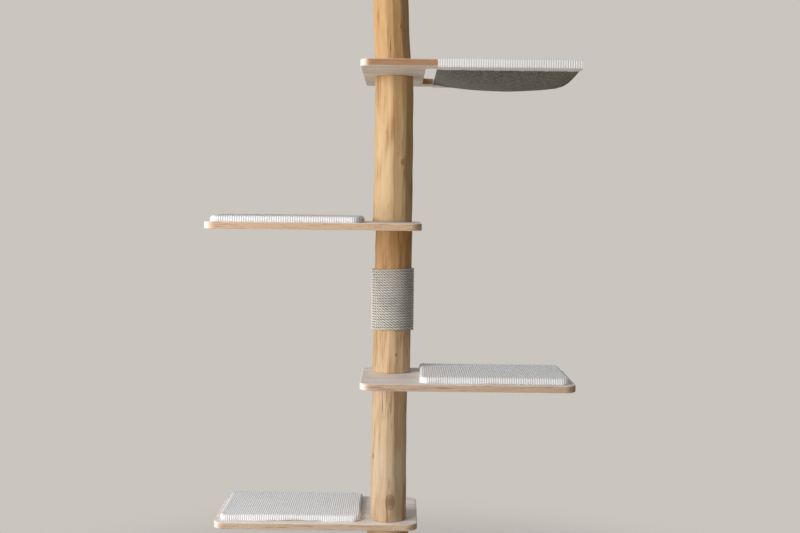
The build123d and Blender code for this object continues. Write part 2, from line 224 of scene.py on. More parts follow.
class Finish(Recipe):
    """A material on its way."""

    def __init__(self, name):
        self.material = bpy.data.materials.new(name)
        self.material.use_nodes = True
        super().__init__(self.material.node_tree)
        self.tree.nodes.clear()

    def place(self):
        """Where a point is on the object."""
        return self.node("ShaderNodeTexCoord", None, None, 3)

    def stretched(self, place, x, y, z):
        return self.vector("MULTIPLY", place, (x, y, z))

    def attribute(self, name, output="Fac"):
        return self.node("ShaderNodeAttribute", {"attribute_name": name}, None, output)

    def shade(self, values, height=None, depth=0.5 * MM, strength=1.0):
        """The surface, with a height that roughens it where one is given."""
        if height is not None:
            relief = {"Height": height, "Distance": depth, "Strength": strength}
            values = dict(values, Normal=self.node("ShaderNodeBump", None, relief))
        surface = self.node("ShaderNodeBsdfPrincipled", None, values)
        self.node("ShaderNodeOutputMaterial", None, {"Surface": surface})
        return self.material


class Growth(Recipe):
    """A geometry tree on its way, with named inputs."""

    KINDS = {"float": "Float", "length": "Float", "whole": "Int", "material": "Material",
             "object": "Object", "geometry": "Geometry"}

    def __init__(self, name, inputs):
        super().__init__(bpy.data.node_groups.new(name, "GeometryNodeTree"))
        self.names = {}
        for title, kind in {"Geometry": "geometry", **inputs}.items():
            kind_of_socket = f"NodeSocket{self.KINDS[kind]}"
            socket = self.tree.interface.new_socket(title, in_out="INPUT", socket_type=kind_of_socket)
            if kind == "length":
                socket.subtype = "DISTANCE"
            self.names[title] = socket.identifier
        self.tree.interface.new_socket("Geometry", in_out="OUTPUT", socket_type="NodeSocketGeometry")
        self.entry = self.tree.nodes.new("NodeGroupInput")

    def input(self, title):
        return Value(self, self.entry.outputs[title])

    def store(self, geometry, name, value, kind="FLOAT"):
        """Keeps a value of each point under a name."""
        settings = {"data_type": kind, "domain": "POINT"}
        values = {0: geometry, "Name": name, "Value": value}
        return self.node("GeometryNodeStoreNamedAttribute", settings, values)

    def close(self, geometry, smooth=True):
        """Ends the tree: instances made real, one material over all."""
        real = self.node("GeometryNodeRealizeInstances", None, {0: geometry})
        shaded = self.node("GeometryNodeSetShadeSmooth", None, {0: real, "Shade Smooth": smooth})
        values = {0: shaded, "Material": self.input("Material")}
        self.node("NodeGroupOutput", None, {0: self.node("GeometryNodeSetMaterial", None, values)})

    def grow(self, piece, values):
        """Runs the tree on a piece and leaves the result as its plain mesh."""
        modifier = piece.modifiers.new(self.tree.name, "NODES")
        modifier.node_group = self.tree
        for title, value in values.items():
            modifier[self.names[title]] = value
        graph = bpy.context.evaluated_depsgraph_get()
        made = bpy.data.meshes.new_from_object(
            piece.evaluated_get(graph), preserve_all_data_layers=True, depsgraph=graph
        )
        piece.modifiers.remove(modifier)
        first = piece.data
        piece.data = made
        made.name = piece.name
        bpy.data.meshes.remove(first)
        return piece


# Meshes


def make_piece(name, points, faces, material=None, attributes=None, edges=()):
    """A mesh object at the origin, its place in its mesh."""
    mesh = bpy.data.meshes.new(name)
    mesh.from_pydata(np.asarray(points, float).reshape(-1, 3).tolist(), edges, faces)
    for title, values in (attributes or {}).items():
        layer = mesh.attributes.new(title, "FLOAT", "POINT")
        layer.data.foreach_set("value", np.asarray(values, np.float32).ravel())
    if faces:
        mesh.shade_smooth()
    if material:
        mesh.materials.append(material)
    piece = bpy.data.objects.new(name, mesh)
    bpy.context.scene.collection.objects.link(piece)
    return piece


def grid_faces(rows, columns, round_rows=False, round_columns=False, first=0, flip=False):
    """Quads over a grid of points numbered row by row, joined up where it goes round."""
    row = np.arange(rows if round_rows else rows - 1)
    column = np.arange(columns if round_columns else columns - 1)
    here, there = np.meshgrid(row, column, indexing="ij")
    right = (there + 1) % columns
    start, below = here * columns, (here + 1) % rows * columns
    corners = [start + there, start + right, below + right, below + there]
    if flip:
        corners.reverse()
    return (np.stack(corners, -1).reshape(-1, 4) + first).tolist()


def directions(count):
    """Angles evenly spread over a full turn."""
    return np.linspace(0, 2 * pi, count, endpoint=False)


def circle(reach, angles, height):
    """Points at a reach round the upright axis."""
    return np.stack([reach * np.cos(angles), reach * np.sin(angles), height + 0 * angles], -1)


def closed_tube(points, flip=False):
    """Faces of a stack of rings with a cap at each end."""
    rows, around = points.shape[:2]
    first = list(range(around))
    last = [(rows - 1) * around + number for number in first]
    (last if flip else first).reverse()
    return grid_faces(rows, around, round_columns=True, flip=flip) + [tuple(first), tuple(last)]


def polyline(name, points):
    """A line of points for a geometry tree to follow."""
    return make_piece(name, points, (), edges=[(i, i + 1) for i in range(len(points) - 1)])


def place_piece(piece, body, slot, *nodes):
    """Says which body a piece moves with and hides the CAD nodes that it stands for. The slot is not used.
    """
    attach(piece, body)
    if nodes:
        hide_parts(*nodes)


def dress(node, material):
    """Gives a CAD node its finish."""
    slots = frame["nodes"][node].data.materials
    if not slots:
        slots.append(material)
    for number in range(len(slots)):
        slots[number] = material


# Trunk


@dataclass
class Log:
    """One length of peeled trunk, as the CAD has it, with what shows on its skin.

    Diameters, shifts and bow are in millimetres. A knot is its angle, its height and its radius.
    A long cut is its angle, middle height, half length and depth. The tint goes from foot to head."""

    node: str
    foot_diameter: float
    head_diameter: float
    foot_shift: float
    head_shift: float
    bow: float
    turn: float
    knots: tuple
    cuts: tuple
    foot_tint: tuple
    head_tint: tuple

    def __post_init__(self):
        low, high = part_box(self.node)
        self.bottom, self.top = low.z, high.z

    def share(self, height):
        return (height - self.bottom) / (self.top - self.bottom)

    def centre(self, share):
        straight = self.foot_shift * (1 - share) + self.head_shift * share
        return (straight + self.bow * np.sin(pi * share)) * MM

    def radius(self, share):
        return (self.foot_diameter * (1 - share) + self.head_diameter * share) / 2 * MM

    def outline(self, share, angles):
        """Distance from the centre line to the many-sided outline, in each direction."""
        corners = np.arange(LOG_SIDES + 1)
        number = corners % LOG_SIDES
        corner_angles = 2 * pi * corners / LOG_SIDES + 0.09 * np.sin(3 * number + self.turn)
        reach = self.radius(share) * (1 + 0.012 * np.sin(1.9 * number + 2.5 * share + self.turn))
        around = (angles - corner_angles[0]) % (2 * pi) + corner_angles[0]
        side = np.clip(np.searchsorted(corner_angles, around, side="right") - 1, 0, LOG_SIDES - 1)
        first, second = corner_angles[side], corner_angles[side + 1]
        near, far = reach[side], reach[side + 1]
        slant = near * np.sin(around - first) + far * np.sin(second - around)
        return near * far * np.sin(second - first) / slant


LOG_SIDES = 14
LOGS = [
    Log("bottom_log", 122, 115, 0, -3, -1, 0.4,
        knots=((-120, 0.31, 8), (-40, 0.15, 6), (60, 0.22, 9), (150, 0.36, 7)),
        cuts=((-20, 0.22, 0.3, 2.2), (-75, 0.3, 0.2, 1.6)),
        foot_tint=(204, 168, 122), head_tint=(206, 172, 130)),
    Log("lower_log", 100, 97, -2.5, -1, -1, 1.7,
        knots=((-84, 0.497, 15), (-150, 0.62, 5), (40, 0.7, 8), (130, 0.55, 7)),
        cuts=((-54, 0.62, 0.5, 3.2), (-112, 0.62, 0.5, 2.4)),
        foot_tint=(208, 186, 156), head_tint=(210, 187, 158)),
    Log("middle_log", 106, 102, 1.5, 5.5, 0, 2.9,
        knots=((177, 1.2, 7), (-75, 0.905, 4), (30, 0.93, 7), (110, 1.17, 6)),
        cuts=((-36, 0.95, 0.4, 2.6), (-85, 1.1, 0.4, 2.0), (-160, 1.21, 0.1, 1.2)),
        foot_tint=(212, 186, 152), head_tint=(197, 156, 104)),
    Log("upper_log", 109, 104, 1.5, 2, 1, 4.1,
        knots=((-114, 1.507, 2.4), (-62, 1.428, 7), (-64, 1.626, 2.2), (20, 1.36, 8), (120, 1.55, 7),
               (170, 1.4, 5)),
        cuts=((-33, 1.47, 0.5, 3.4), (-75, 1.47, 0.5, 3.4), (-120, 1.44, 0.5, 2.0)),
        foot_tint=(206, 176, 134), head_tint=(206, 174, 130)),
    Log("top_log", 99, 94, -1, 0, -12, 5.3,
        knots=((-60, 1.79, 3), (-130, 1.95, 7), (-30, 2.12, 8), (80, 1.85, 9), (160, 2.05, 6),
               (-80, 2.22, 5)),
        cuts=((-30, 1.8, 0.5, 2.8), (-72, 1.8, 0.5, 2.6), (-118, 1.85, 0.5, 1.6)),
        foot_tint=(204, 167, 120), head_tint=(206, 170, 124)),
]
AROUND_LOG = 216
LOG_STEP = 4 * MM
LOG_WAVE = 130 * MM
LOG_MIDDLE_RADIUS = 50 * MM
EDGE_SHARPNESS = 0.35
CUT_HALF_ANGLE = 1.2
CUT_ROUNDING = 0.18 * MM
BAST_DEPTH = 0.45 * MM
BULGE = 3.2 * MM
BULGE_HEIGHT = 16 * MM
END_CHAMFER = 1.6 * MM
ROPE_BED_RADIUS = 52 * MM
ROPE_CENTRE = 3.53 * MM
SPINDLE_BORE_RADIUS = 9 * MM
SPINDLE_BORE_DEPTH = 200 * MM


def turned_to(angles, target):
    """The angle from a target direction, between minus and plus half a turn."""
    return (angles - target + pi) % (2 * pi) - pi


def shallower(first, second, softness):
    """The smaller of two depths, with a rounded change from one to the other."""
    apart = np.clip(0.5 + 0.5 * (second - first) / softness, 0, 1)
    return second * (1 - apart) + first * apart - softness * apart * (1 - apart)


def knife_cuts(log, count, draw):
    """Where the drawknife went in: the long cuts of this log, then many short ones."""
    cuts = [(radians(angle), height, half, depth * MM) for angle, height, half, depth in log.cuts]
    for _ in range(count):
        height = draw.uniform(log.bottom, log.top)
        angle, half, depth = draw.uniform(0, 2 * pi), draw.uniform(0.04, 0.18), draw.uniform(0.4, 1.5)
        cuts.append((angle, height, half, depth * MM))
    return cuts


def log_heights(log):
    """Levels of the mesh, closer together on the chamfered ends."""
    inner = np.arange(log.bottom + END_CHAMFER, log.top - END_CHAMFER, LOG_STEP)
    ends = np.array([0, 0.3, 0.7, 1.1]) * MM
    return np.concatenate([log.bottom + ends, inner, log.top - ends[::-1]])


def log_skin(log, sizes, seed):
    """Points of a peeled log, and how much bast the knife left at each."""
    draw = np.random.default_rng(seed)
    angles = directions(AROUND_LOG)
    heights = log_heights(log)
    shares = log.share(heights)
    reach = np.array([log.outline(share, angles) for share in shares])
    soft = sum(np.roll(reach, shift, 1) for shift in range(-4, 5)) / 9
    reach = EDGE_SHARPNESS * reach + (1 - EDGE_SHARPNESS) * soft
    waves = np.sin(2 * pi * heights / LOG_WAVE + seed)[:, None] * np.cos(2 * angles + seed)[None, :]
    reach = reach + 0.5 * MM * waves
    uncut = reach.copy()
    for angle, height, half, depth in knife_cuts(log, sizes.knife_cuts, draw):
        along = (heights - height) / half
        level = log.radius(shares) + 0.35 * MM - depth * (1 - along**2)
        away = turned_to(angles, angle)
        slant = np.cos(np.clip(away, -CUT_HALF_ANGLE, CUT_HALF_ANGLE))[None, :]
        flat = np.where(np.abs(away) < CUT_HALF_ANGLE, level[:, None] / slant, 1.0)
        reach = shallower(reach, flat, CUT_ROUNDING)
    bast = np.clip(1 - (uncut - reach) / BAST_DEPTH, 0, 1)
    for angle, height, size in log.knots:
        away = turned_to(angles, radians(angle))[None, :] * LOG_MIDDLE_RADIUS
        apart = np.sqrt(away**2 + (0.6 * (heights - height)[:, None]) ** 2) / (size * MM)
        reach = reach + size * 0.16 * MM * (np.exp(-0.45 * apart**2) - 0.5 * np.exp(-2.2 * apart**2))
    if log.node == "upper_log":
        swell = np.exp(-(heights - log.bottom) / BULGE_HEIGHT)[:, None] * (0.5 - 0.5 * np.cos(angles))
        reach = reach + BULGE * swell
        bast = np.maximum(bast, 1.3 * swell)
    if log.node == "middle_log":
        low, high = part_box("rope_winding")
        wound = (heights > low.z - 2 * MM) & (heights < high.z + 2 * MM)
        reach[wound] = np.minimum(reach[wound], ROPE_BED_RADIUS)
    from_end = np.minimum(heights - log.bottom, log.top - heights)
    inset = END_CHAMFER * np.clip(1 - from_end / END_CHAMFER, 0, 1) ** 1.3
    reach = reach - inset[:, None]
    points = circle(reach, angles, heights[:, None])
    points[:, :, 0] += log.centre(shares)[:, None]
    return points, np.clip(bast, 0, 1)


def log_finish(log, colours, seed):
    """Peeled and drawknifed wood: grain up the log that parts round knots, rings, bast and fine checks."""
    make = Finish(f"peeled_wood_{log.node}")
    place = make.place()
    shift = make.vector("ADD", place, (seed * 1.7, seed * 0.9, seed * 0.31))
    grain_place = shift
    hearts, rims = None, None
    for angle, height, size in log.knots:
        share = log.share(height)
        reach = log.radius(share)
        middle = (log.centre(share) + reach * cos(radians(angle)), reach * sin(radians(angle)), height)
        offset = make.vector("SUBTRACT", place, middle)
        apart = make.vector("LENGTH", make.stretched(offset, 1, 1, 0.6), output=1) / (size * MM)
        pull = make.maths("EXPONENT", apart * apart * -0.16)
        grain_place = make.vector("ADD", grain_place, make.scaled(offset, pull * -0.62))
        heart = make.fade(apart, 0.75, 0.35)
        rim = make.fade(abs(apart - 0.75), 0.28, 0.05)
        hearts = heart if hearts is None else make.maths("MAXIMUM", hearts, heart)
        rims = rim if rims is None else make.maths("MAXIMUM", rims, rim)
    streak = make.noise(make.stretched(grain_place, 1, 1, 0.045), 210, 5, 0.66)
    fine = make.noise(make.stretched(grain_place, 1, 1, 0.018), 620, 3, 0.6)
    blotch = make.noise(make.stretched(shift, 1, 1, 0.3), 15, 3, 0.55, 0.5)
    x, y, z = make.parts(place)
    share = (z - log.bottom) / (log.top - log.bottom)
    bend = make.maths("SINE", share * pi) * (log.bow * MM)
    across = x - share * ((log.head_shift - log.foot_shift) * MM) - (log.foot_shift * MM) - bend
    radius = make.maths("SQRT", across * across + y * y) + (blotch - 0.5) * 0.006
    rings = make.maths("SINE", radius * (2 * pi / 0.0026)) * 0.5 + 0.5
    tone = make.fade(streak * 0.42 + rings * 0.14 + blotch * 0.62, 0.36, 1.0)
    colour = make.blend(share, paint(*log.foot_tint), paint(*log.head_tint))
    colour = make.blend(tone, colour, colours.grain, "MULTIPLY")
    colour = make.blend(make.fade(blotch, 0.4, 0.7, 0, 0.5), colour, paint(244, 226, 204), "MULTIPLY")
    colour = make.blend(make.fade(fine, 0.5, 0.78, 0, 0.4), colour, colours.grain, "MULTIPLY")
    left = make.attribute("bast") * make.fade(streak + blotch * 0.6, 0.8, 1.02)
    colour = make.blend(left * 0.6, colour, colours.inner_bark)
    check = make.noise(make.stretched(shift, 1, 1, 0.014), 74, 1, 0.4)
    place_of_checks = make.fade(make.noise(make.stretched(shift, 1, 1, 0.2), 22, 1), 0.52, 0.62)
    cracks = make.fade(abs(check - 0.5), 0.008, 0.002) * place_of_checks
    colour = make.blend(cracks * 0.75, colour, colours.knot)
    swirl = make.maths("SINE", rims * 9 + streak * 6) * 0.5 + 0.5
    colour = make.blend(rims * (swirl * 0.35 + 0.35), colour, colours.inner_bark)
    colour = make.blend(hearts * 0.55, colour, colours.knot)
    height = streak * 0.5 + fine * 0.35 - cracks * 1.6 - hearts * 0.6
    rough = make.fade(streak, 0.3, 0.7, 0.52, 0.68)
    values = {"Base Color": colour, "Roughness": rough, "Specular IOR Level": 0.3}
    return make.shade(values, height, 0.5 * MM, 0.4)


def make_log(log, sizes, colours, seed):
    """One length of trunk, closed at both ends. The top one has the bore that the spindle slides in."""
    grid, bast = log_skin(log, sizes, seed)
    if log.node == "top_log":
        for height in (log.top, log.top - SPINDLE_BORE_DEPTH):
            ring = circle(SPINDLE_BORE_RADIUS, directions(AROUND_LOG), height)
            grid = np.concatenate([grid, ring[None]])
        bast = np.concatenate([bast, np.zeros((2, AROUND_LOG))])
    rows = len(grid)
    faces = grid_faces(rows, AROUND_LOG, round_columns=True)
    foot, last = rows * AROUND_LOG, (rows - 1) * AROUND_LOG
    for here in range(AROUND_LOG):
        there = (here + 1) % AROUND_LOG
        faces.append((there, here, foot))
        faces.append((last + here, last + there, foot + 1))
    ends = [grid[0].mean(0), grid[-1].mean(0)]
    points = np.concatenate([grid.reshape(-1, 3), ends])
    attributes = {"bast": np.append(bast.ravel(), [0, 0])}
    piece = make_piece(f"trunk_{log.node}", points, faces, log_finish(log, colours, seed), attributes)
    place_piece(piece, frame["nodes"][log.node]["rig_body"], "log_wood", log.node)


class CATTREE_OT_trunk(bpy.types.Operator):
    """Peeled lengths of trunk with drawknife cuts, knots and grain"""

    bl_idname = "cattree.trunk"
    bl_label = "Trunk"

    def execute(self, context):
        for seed, log in enumerate(LOGS, 3):
            make_log(log, context.scene.cat_tree_sizes, context.scene.cat_tree_colours, seed)
        return {"FINISHED"}


# Boards


def plywood_finish(node, colours, plies, edge_tint, seed):
    """Birch plywood: rotary-cut face veneer, and an edge of thin plies that run crosswise in turn."""
    low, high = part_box(node)
    make = Finish(f"birch_plywood_{node}")
    place = make.place()
    shift = make.vector("ADD", place, (seed * 0.83, seed * 0.57, 0))
    x, y, z = make.parts(shift)
    wander = make.noise(make.stretched(shift, 1, 1, 0), 11, 1) - 0.5
    level = (z - low.z + wander * (0.5 * MM)) * (plies / (high.z - low.z))
    ply = make.maths("FLOOR", level)
    crosswise = make.maths("FLOORED_MODULO", ply, 2.0)
    glue = make.fade(abs(level - ply - 0.5), 0.4, 0.49)
    run = make.joined((x + y) * 5, (x - y) * 5, z * 1400)
    pores = make.joined((x + y) * 260, (x - y) * 260, z * 700)
    streak = make.noise(run, 3.2, 4, 0.6)
    stain = make.fade(make.noise(make.joined(x * 16, y * 16, z * 300), 1.0, 3, 0.6, 0.8), 0.54, 0.66)
    dots = make.noise(pores, 1.5, 2, 0.6)
    along = make.blend(make.fade(streak, 0.35, 0.7), colours.birch_edge, paint(206, 174, 142))
    ends = make.blend(make.fade(dots, 0.4, 0.7), colours.birch_cross, paint(190, 160, 132))
    edge = make.blend(crosswise * 0.75, along, ends)
    edge = make.blend(stain * 0.6, edge, paint(142, 104, 74))
    edge = make.blend(glue * 0.45, edge, paint(120, 88, 62))
    edge = make.blend(1.0, edge, paint(*edge_tint), "MULTIPLY")
    # Painted light: the edges go pale towards the board's left end, where the window light falls on them.
    window_lit_end = make.fade(make.parts(place)[0], low.x + 24 * MM, low.x + 6 * MM, 0, 0.75)
    edge = make.blend(window_lit_end, edge, colours.birch_face)
    figure = make.noise(make.stretched(shift, 1.5, 8, 1), 3.5, 4, 0.6, 1.1)
    flame = make.noise(make.stretched(shift, 6, 40, 1), 3, 3, 0.55, 0.4)
    pore = make.noise(make.stretched(shift, 40, 900, 1), 1.6, 2, 0.6)
    face = make.blend(make.fade(figure, 0.35, 0.72), colours.birch_face, paint(224, 210, 198))
    face = make.tinted(face, (flame, 0.45, 0.8, 0.35, (190, 164, 140)),
                       (pore, 0.6, 0.78, 0.3, (150, 120, 96)))
    upward = make.parts(make.node("ShaderNodeNewGeometry", None, None, "Normal"))[2]
    lying = make.fade(abs(upward), 0.6, 0.8)
    colour = make.blend(lying, edge, face)
    edge_height = streak * 0.3 + dots * crosswise * 0.5 - glue * 0.5
    height = (1 - lying) * edge_height + lying * (pore * 0.35 + flame * 0.2)
    rough = make.fade(figure + dots * 0.3, 0.3, 0.9, 0.46, 0.62)
    values = {"Base Color": colour, "Roughness": rough, "Specular IOR Level": 0.35}
    return make.shade(values, height, 0.15 * MM, 0.6)


class CATTREE_OT_boards(bpy.types.Operator):
    """Birch plywood on the shelves, the hammock's frame, the base and the ceiling plate"""

    bl_idname = "cattree.boards"
    bl_label = "Boards"

    def execute(self, context):
        colours = context.scene.cat_tree_colours
        boards = [("base_plate", 17, (246, 240, 232)), ("lower_shelf", 13, (240, 238, 236)),
                  ("middle_shelf", 13, (242, 236, 232)), ("upper_shelf", 13, (250, 240, 230)),
                  ("hammock_frame", 13, (212, 184, 160)), ("ceiling_plate", 13, (246, 238, 228))]
        for seed, (node, plies, edge_tint) in enumerate(boards, 1):
            dress(node, plywood_finish(node, colours, plies, edge_tint, seed))
        return {"FINISHED"}


# Rope

ROPE_TURNS = 23
ROPE_PITCH = 7.2 * MM
ROPE_DIAMETER = 6.6 * MM
ROPE_LINE_RADIUS = 55.58 * MM
ROPE_BEND_RADIUS = 8 * MM
ROPE_STEPS_PER_TURN = 84
STRANDS = 3
STRAND_OFFSET = 1.9 * MM
STRAND_RADIUS = 1.7 * MM


def rope_line():
    """The middle of the rope: out of its hole, round the log and into the other hole."""
    low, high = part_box("rope_winding")
    bottom = (low.z + high.z - ROPE_TURNS * ROPE_PITCH) / 2
    turns = np.linspace(0, ROPE_TURNS, ROPE_TURNS * ROPE_STEPS_PER_TURN + 1)
    angles = 2 * pi * turns
    line = np.stack([
        ROPE_CENTRE + ROPE_LINE_RADIUS * np.cos(angles),
        ROPE_LINE_RADIUS * np.sin(angles),
        bottom + ROPE_PITCH * turns,
    ], -1)
    bends = []
    for place, side in ((line[0], -1), (line[-1], 1)):
        swing = np.linspace(0, pi / 2, 7)[1:]
        along = side * ROPE_BEND_RADIUS * np.sin(swing)
        inward = ROPE_BEND_RADIUS * (1 - np.cos(swing))
        bend = place + np.stack([-inward, along, 0 * swing], -1)
        stub = bend[-1] + np.array([[-0.5 * ROPE_DIAMETER, 0, 0], [-ROPE_DIAMETER, 0, 0]])
        bends.append(np.concatenate([bend, stub]))
    return np.concatenate([bends[0][::-1], line, bends[1]])


def laid_rope_tree():
    """Three strands laid round a line, each a round tube that turns about the line as it goes."""
    grow = Growth("laid_rope", {"Lay": "length", "Strand offset": "length",
                                "Strand radius": "length", "Material": "material"})
    line = grow.node("GeometryNodeMeshToCurve", None, {0: grow.input("Geometry")})
    along = grow.node("GeometryNodeSplineParameter", None, None, "Length")
    line = grow.store(line, "along", along)
    tilt = along * (2 * pi) / grow.input("Lay")
    turned = grow.node("GeometryNodeSetCurveTilt", None, {0: line, "Tilt": tilt})
    ring = grow.node("GeometryNodeCurvePrimitiveCircle", {"mode": "RADIUS"},
                     {"Resolution": 10, "Radius": grow.input("Strand radius")})
    side = grow.vector("NORMALIZE", grow.node("GeometryNodeInputPosition"))
    ring = grow.store(ring, "strand_side", side, "FLOAT_VECTOR")
    strands = grow.tree.nodes.new("GeometryNodeJoinGeometry")
    for angle in directions(STRANDS):
        outward = (cos(angle), sin(angle), 0)
        # How far each point of a strand faces out from the rope's line; the rope's finish paints shade
        # where this is low.
        crown = grow.vector("DOT_PRODUCT", side, outward, output=1)
        offset = grow.scaled(outward, grow.input("Strand offset"))
        strand = grow.store(ring, "crown", crown)
        moved = grow.node("GeometryNodeTransform", None, {0: strand, "Translation": offset})
        grow.tree.links.new(moved.socket, strands.inputs[0])
    section = Value(grow, strands.outputs[0])
    tube = grow.node("GeometryNodeCurveToMesh", None, {0: turned, 1: section, "Fill Caps": True})
    grow.close(tube)
    return grow


def rope_finish(colours):
    """Natural fibre: pale strands with darker hairs that run along them, and painted shade in the crevices
    between strands.
    """
    make = Finish("sisal_rope")
    side = make.attribute("strand_side", "Vector")
    along = make.attribute("along")
    round_x, round_y, _ = make.parts(side)
    fibre = make.noise(make.joined(round_x * 2.6, round_y * 2.6, along * 170), 2.4, 4, 0.65)
    tuft = make.noise(make.place(), 420, 3, 0.6)
    worn = make.noise(make.place(), 26, 2, 0.5)
    colour = make.blend(make.fade(fibre, 0.42, 0.72), colours.rope, colours.rope_shade)
    # The last tint is painted shade: dark where a strand's side turns in towards its neighbours.
    colour = make.tinted(colour, (tuft, 0.5, 0.75, 0.5, (226, 221, 208)),
                         (worn, 0.45, 0.7, 0.35, (190, 190, 184)),
                         (make.attribute("crown"), 0.5, -0.25, 1, (66, 60, 50)))
    values = {"Base Color": colour, "Roughness": 0.85, "Specular IOR Level": 0.2,
              "Sheen Weight": 0.15, "Sheen Roughness": 0.5}
    return make.shade(values, fibre * 0.7 + tuft * 0.5, 0.35 * MM, 0.8)


class CATTREE_OT_rope(bpy.types.Operator):
    """Laid rope wound round the middle log"""

    bl_idname = "cattree.rope"
    bl_label = "Rope winding"

    def execute(self, context):
        rope = polyline("rope_strands", rope_line())
        values = {"Lay": context.scene.cat_tree_sizes.rope_lay, "Strand offset": STRAND_OFFSET,
                  "Strand radius": STRAND_RADIUS, "Material": rope_finish(context.scene.cat_tree_colours)}
        laid_rope_tree().grow(rope, values)
        place_piece(rope, "column", "sisal_rope", "rope_winding")
        return {"FINISHED"}


# Fabric

SEAM_THICKNESS = 0.8 * MM


def corduroy_tree():
    """Presses grooves into a smooth cloth, by each point's distance across the ribs."""
    grow = Growth("corduroy_ribs", {"Pitch": "length", "Height": "length", "Material": "material"})
    across = grow.node("GeometryNodeInputNamedAttribute", {"data_type": "FLOAT"}, {"Name": "across"})
    pile = grow.node("GeometryNodeInputNamedAttribute", {"data_type": "FLOAT"}, {"Name": "pile"})
    wave = abs(grow.maths("SINE", across * pi / grow.input("Pitch")))
    crest = wave ** 0.75
    normal = grow.node("GeometryNodeInputNormal")
    inward = (crest - 1) * grow.input("Height") * pile
    stored = grow.store(grow.input("Geometry"), "crest", 1 - pile * (1 - crest))
    pressed = grow.node("GeometryNodeSetPosition", None, {0: stored, "Offset": grow.scaled(normal, inward)})
    grow.close(pressed)
    return grow


def corduroy_finish(colours):
    """White cotton corduroy: velvety ribs, and between them a darker ground that is partly the woven
    ground's own colour and partly painted shade in the grooves.
    """
    make = Finish("white_corduroy")
    place = make.place()
    crest = make.attribute("crest")
    pile = make.noise(place, 1500, 3, 0.7)
    tuft = make.noise(place, 320, 2, 0.6)
    cloud = make.noise(place, 14, 2, 0.5)
    # Darker from crest to groove: partly the woven ground, partly painted shade in the grooves.
    colour = make.blend(make.fade(crest, 0.15, 0.75), colours.corduroy_ground_and_groove_shade, colours.corduroy)
    colour = make.tinted(colour, (tuft, 0.4, 0.75, 0.16, (205, 200, 192)),
                         (cloud, 0.35, 0.7, 0.12, (222, 216, 206)))
    values = {"Base Color": colour, "Roughness": 0.92, "Specular IOR Level": 0.15,
              "Sheen Weight": 0.35, "Sheen Roughness": 0.4}
    return make.shade(values, pile * 0.5 + tuft * 0.7, 0.35 * MM, 0.8)


def felt_finish(colours):
    """Heather-grey needled felt."""
    make = Finish("grey_felt")
    place = make.place()
    fleck = make.noise(place, 210, 4, 0.85, 0.6)
    blotch = make.noise(place, 95, 3, 0.7)
    hair = make.noise(make.stretched(place, 1, 2.4, 1.4), 1500, 2, 0.6, 1.5)
    colour = make.blend(make.fade(fleck, 0.44, 0.66), colours.felt, colours.felt_fleck)
    colour = make.tinted(colour, (blotch, 0.45, 0.62, 0.7, (56, 56, 50)),
                         (hair, 0.6, 0.75, 0.4, (176, 174, 164)))
    values = {"Base Color": colour, "Roughness": 0.95, "Specular IOR Level": 0.1,
              "Sheen Weight": 0.2, "Sheen Roughness": 0.6}
    return make.shade(values, fleck * 0.6 + hair * 0.6, 0.5 * MM, 0.8)


def thread_finish(colours):
    make = Finish("seam_thread")
    twist = make.noise(make.stretched(make.place(), 1, 1, 3), 1900, 2, 0.6)
    colour = make.blend(make.fade(twist, 0.35, 0.7), colours.seam, paint(176, 156, 126))
    return make.shade({"Base Color": colour, "Roughness": 0.7}, twist, 0.2 * MM)


def stitch_tree():
    """Stitches along a line: one small grain of thread at each step."""
    grow = Growth("stitches", {"Step": "length", "Length": "length", "Thickness": "length",
                               "Material": "material"})
    line = grow.node("GeometryNodeMeshToCurve", None, {0: grow.input("Geometry")})
    points = grow.tree.nodes.new("GeometryNodeCurveToPoints")
    points.mode = "LENGTH"
    grow.tree.links.new(line.socket, points.inputs["Curve"])
    grow.tree.links.new(grow.input("Step").socket, points.inputs["Length"])
    grain = grow.node("GeometryNodeMeshUVSphere", None, {"Segments": 6, "Rings": 5, "Radius": 0.5})
    size = grow.joined(grow.input("Thickness"), grow.input("Thickness"), grow.input("Length"))
    values = {"Points": Value(grow, points.outputs["Points"]), "Instance": grain,
              "Rotation": Value(grow, points.outputs["Rotation"]), "Scale": size}
    stitched = grow.node("GeometryNodeInstanceOnPoints", None, values)
    grow.close(stitched)
    return grow


def make_seam(name, body, points, sizes, share, stitches, thread):
    """A row of stitches along a line, each as long as a share of the way to the next."""
    line = polyline(name, points)
    stitches.grow(line, {"Step": sizes.stitch_length, "Length": sizes.stitch_length * share,
                         "Thickness": SEAM_THICKNESS, "Material": thread})
    place_piece(line, body, "corduroy")


def smoothed(field, passes):
    """Evens out a grid of vectors, its rows going round, without moving its end columns."""
    for _ in range(passes):
        field = (field + 0.5 * np.roll(field, 1, 1) + 0.5 * np.roll(field, -1, 1)) / 2
        inner = (field[1:-1] + 0.5 * field[:-2] + 0.5 * field[2:]) / 2
        field = np.concatenate([field[:1], inner, field[-1:]])
    return field


def resampled(field, columns, rows):
    """A coarse grid of vectors read at more columns and rows, rows going round."""
    wide, deep = field.shape[:2]
    at = np.linspace(0, wide - 1, columns)
    left = np.clip(at.astype(int), 0, wide - 2)
    share = (at - left)[:, None, None]
    field = field[left] * (1 - share) + field[left + 1] * share
    at = np.linspace(0, deep, rows, endpoint=False)
    near = at.astype(int)
    share = (at - near)[None, :, None]
    return field[:, near % deep] * (1 - share) + field[:, (near + 1) % deep] * share


# Cushions

CUSHION_RIB_POINTS = 7
CUSHION_HALF_ROWS = 60
FILLING_GRID = (64, 30)
FILLING_FRAMES = 20
FILLING_UNEVENNESS = 1.6 * MM
FILLING_CLOTH = {
    "quality": 6, "mass": 0.25, "tension_stiffness": 12, "compression_stiffness": 12,
    "shear_stiffness": 4, "bending_stiffness": 0.8, "use_pressure": True,
    "uniform_pressure_force": 4, "shrink_min": -0.012, "vertex_group_mass": "held",
}


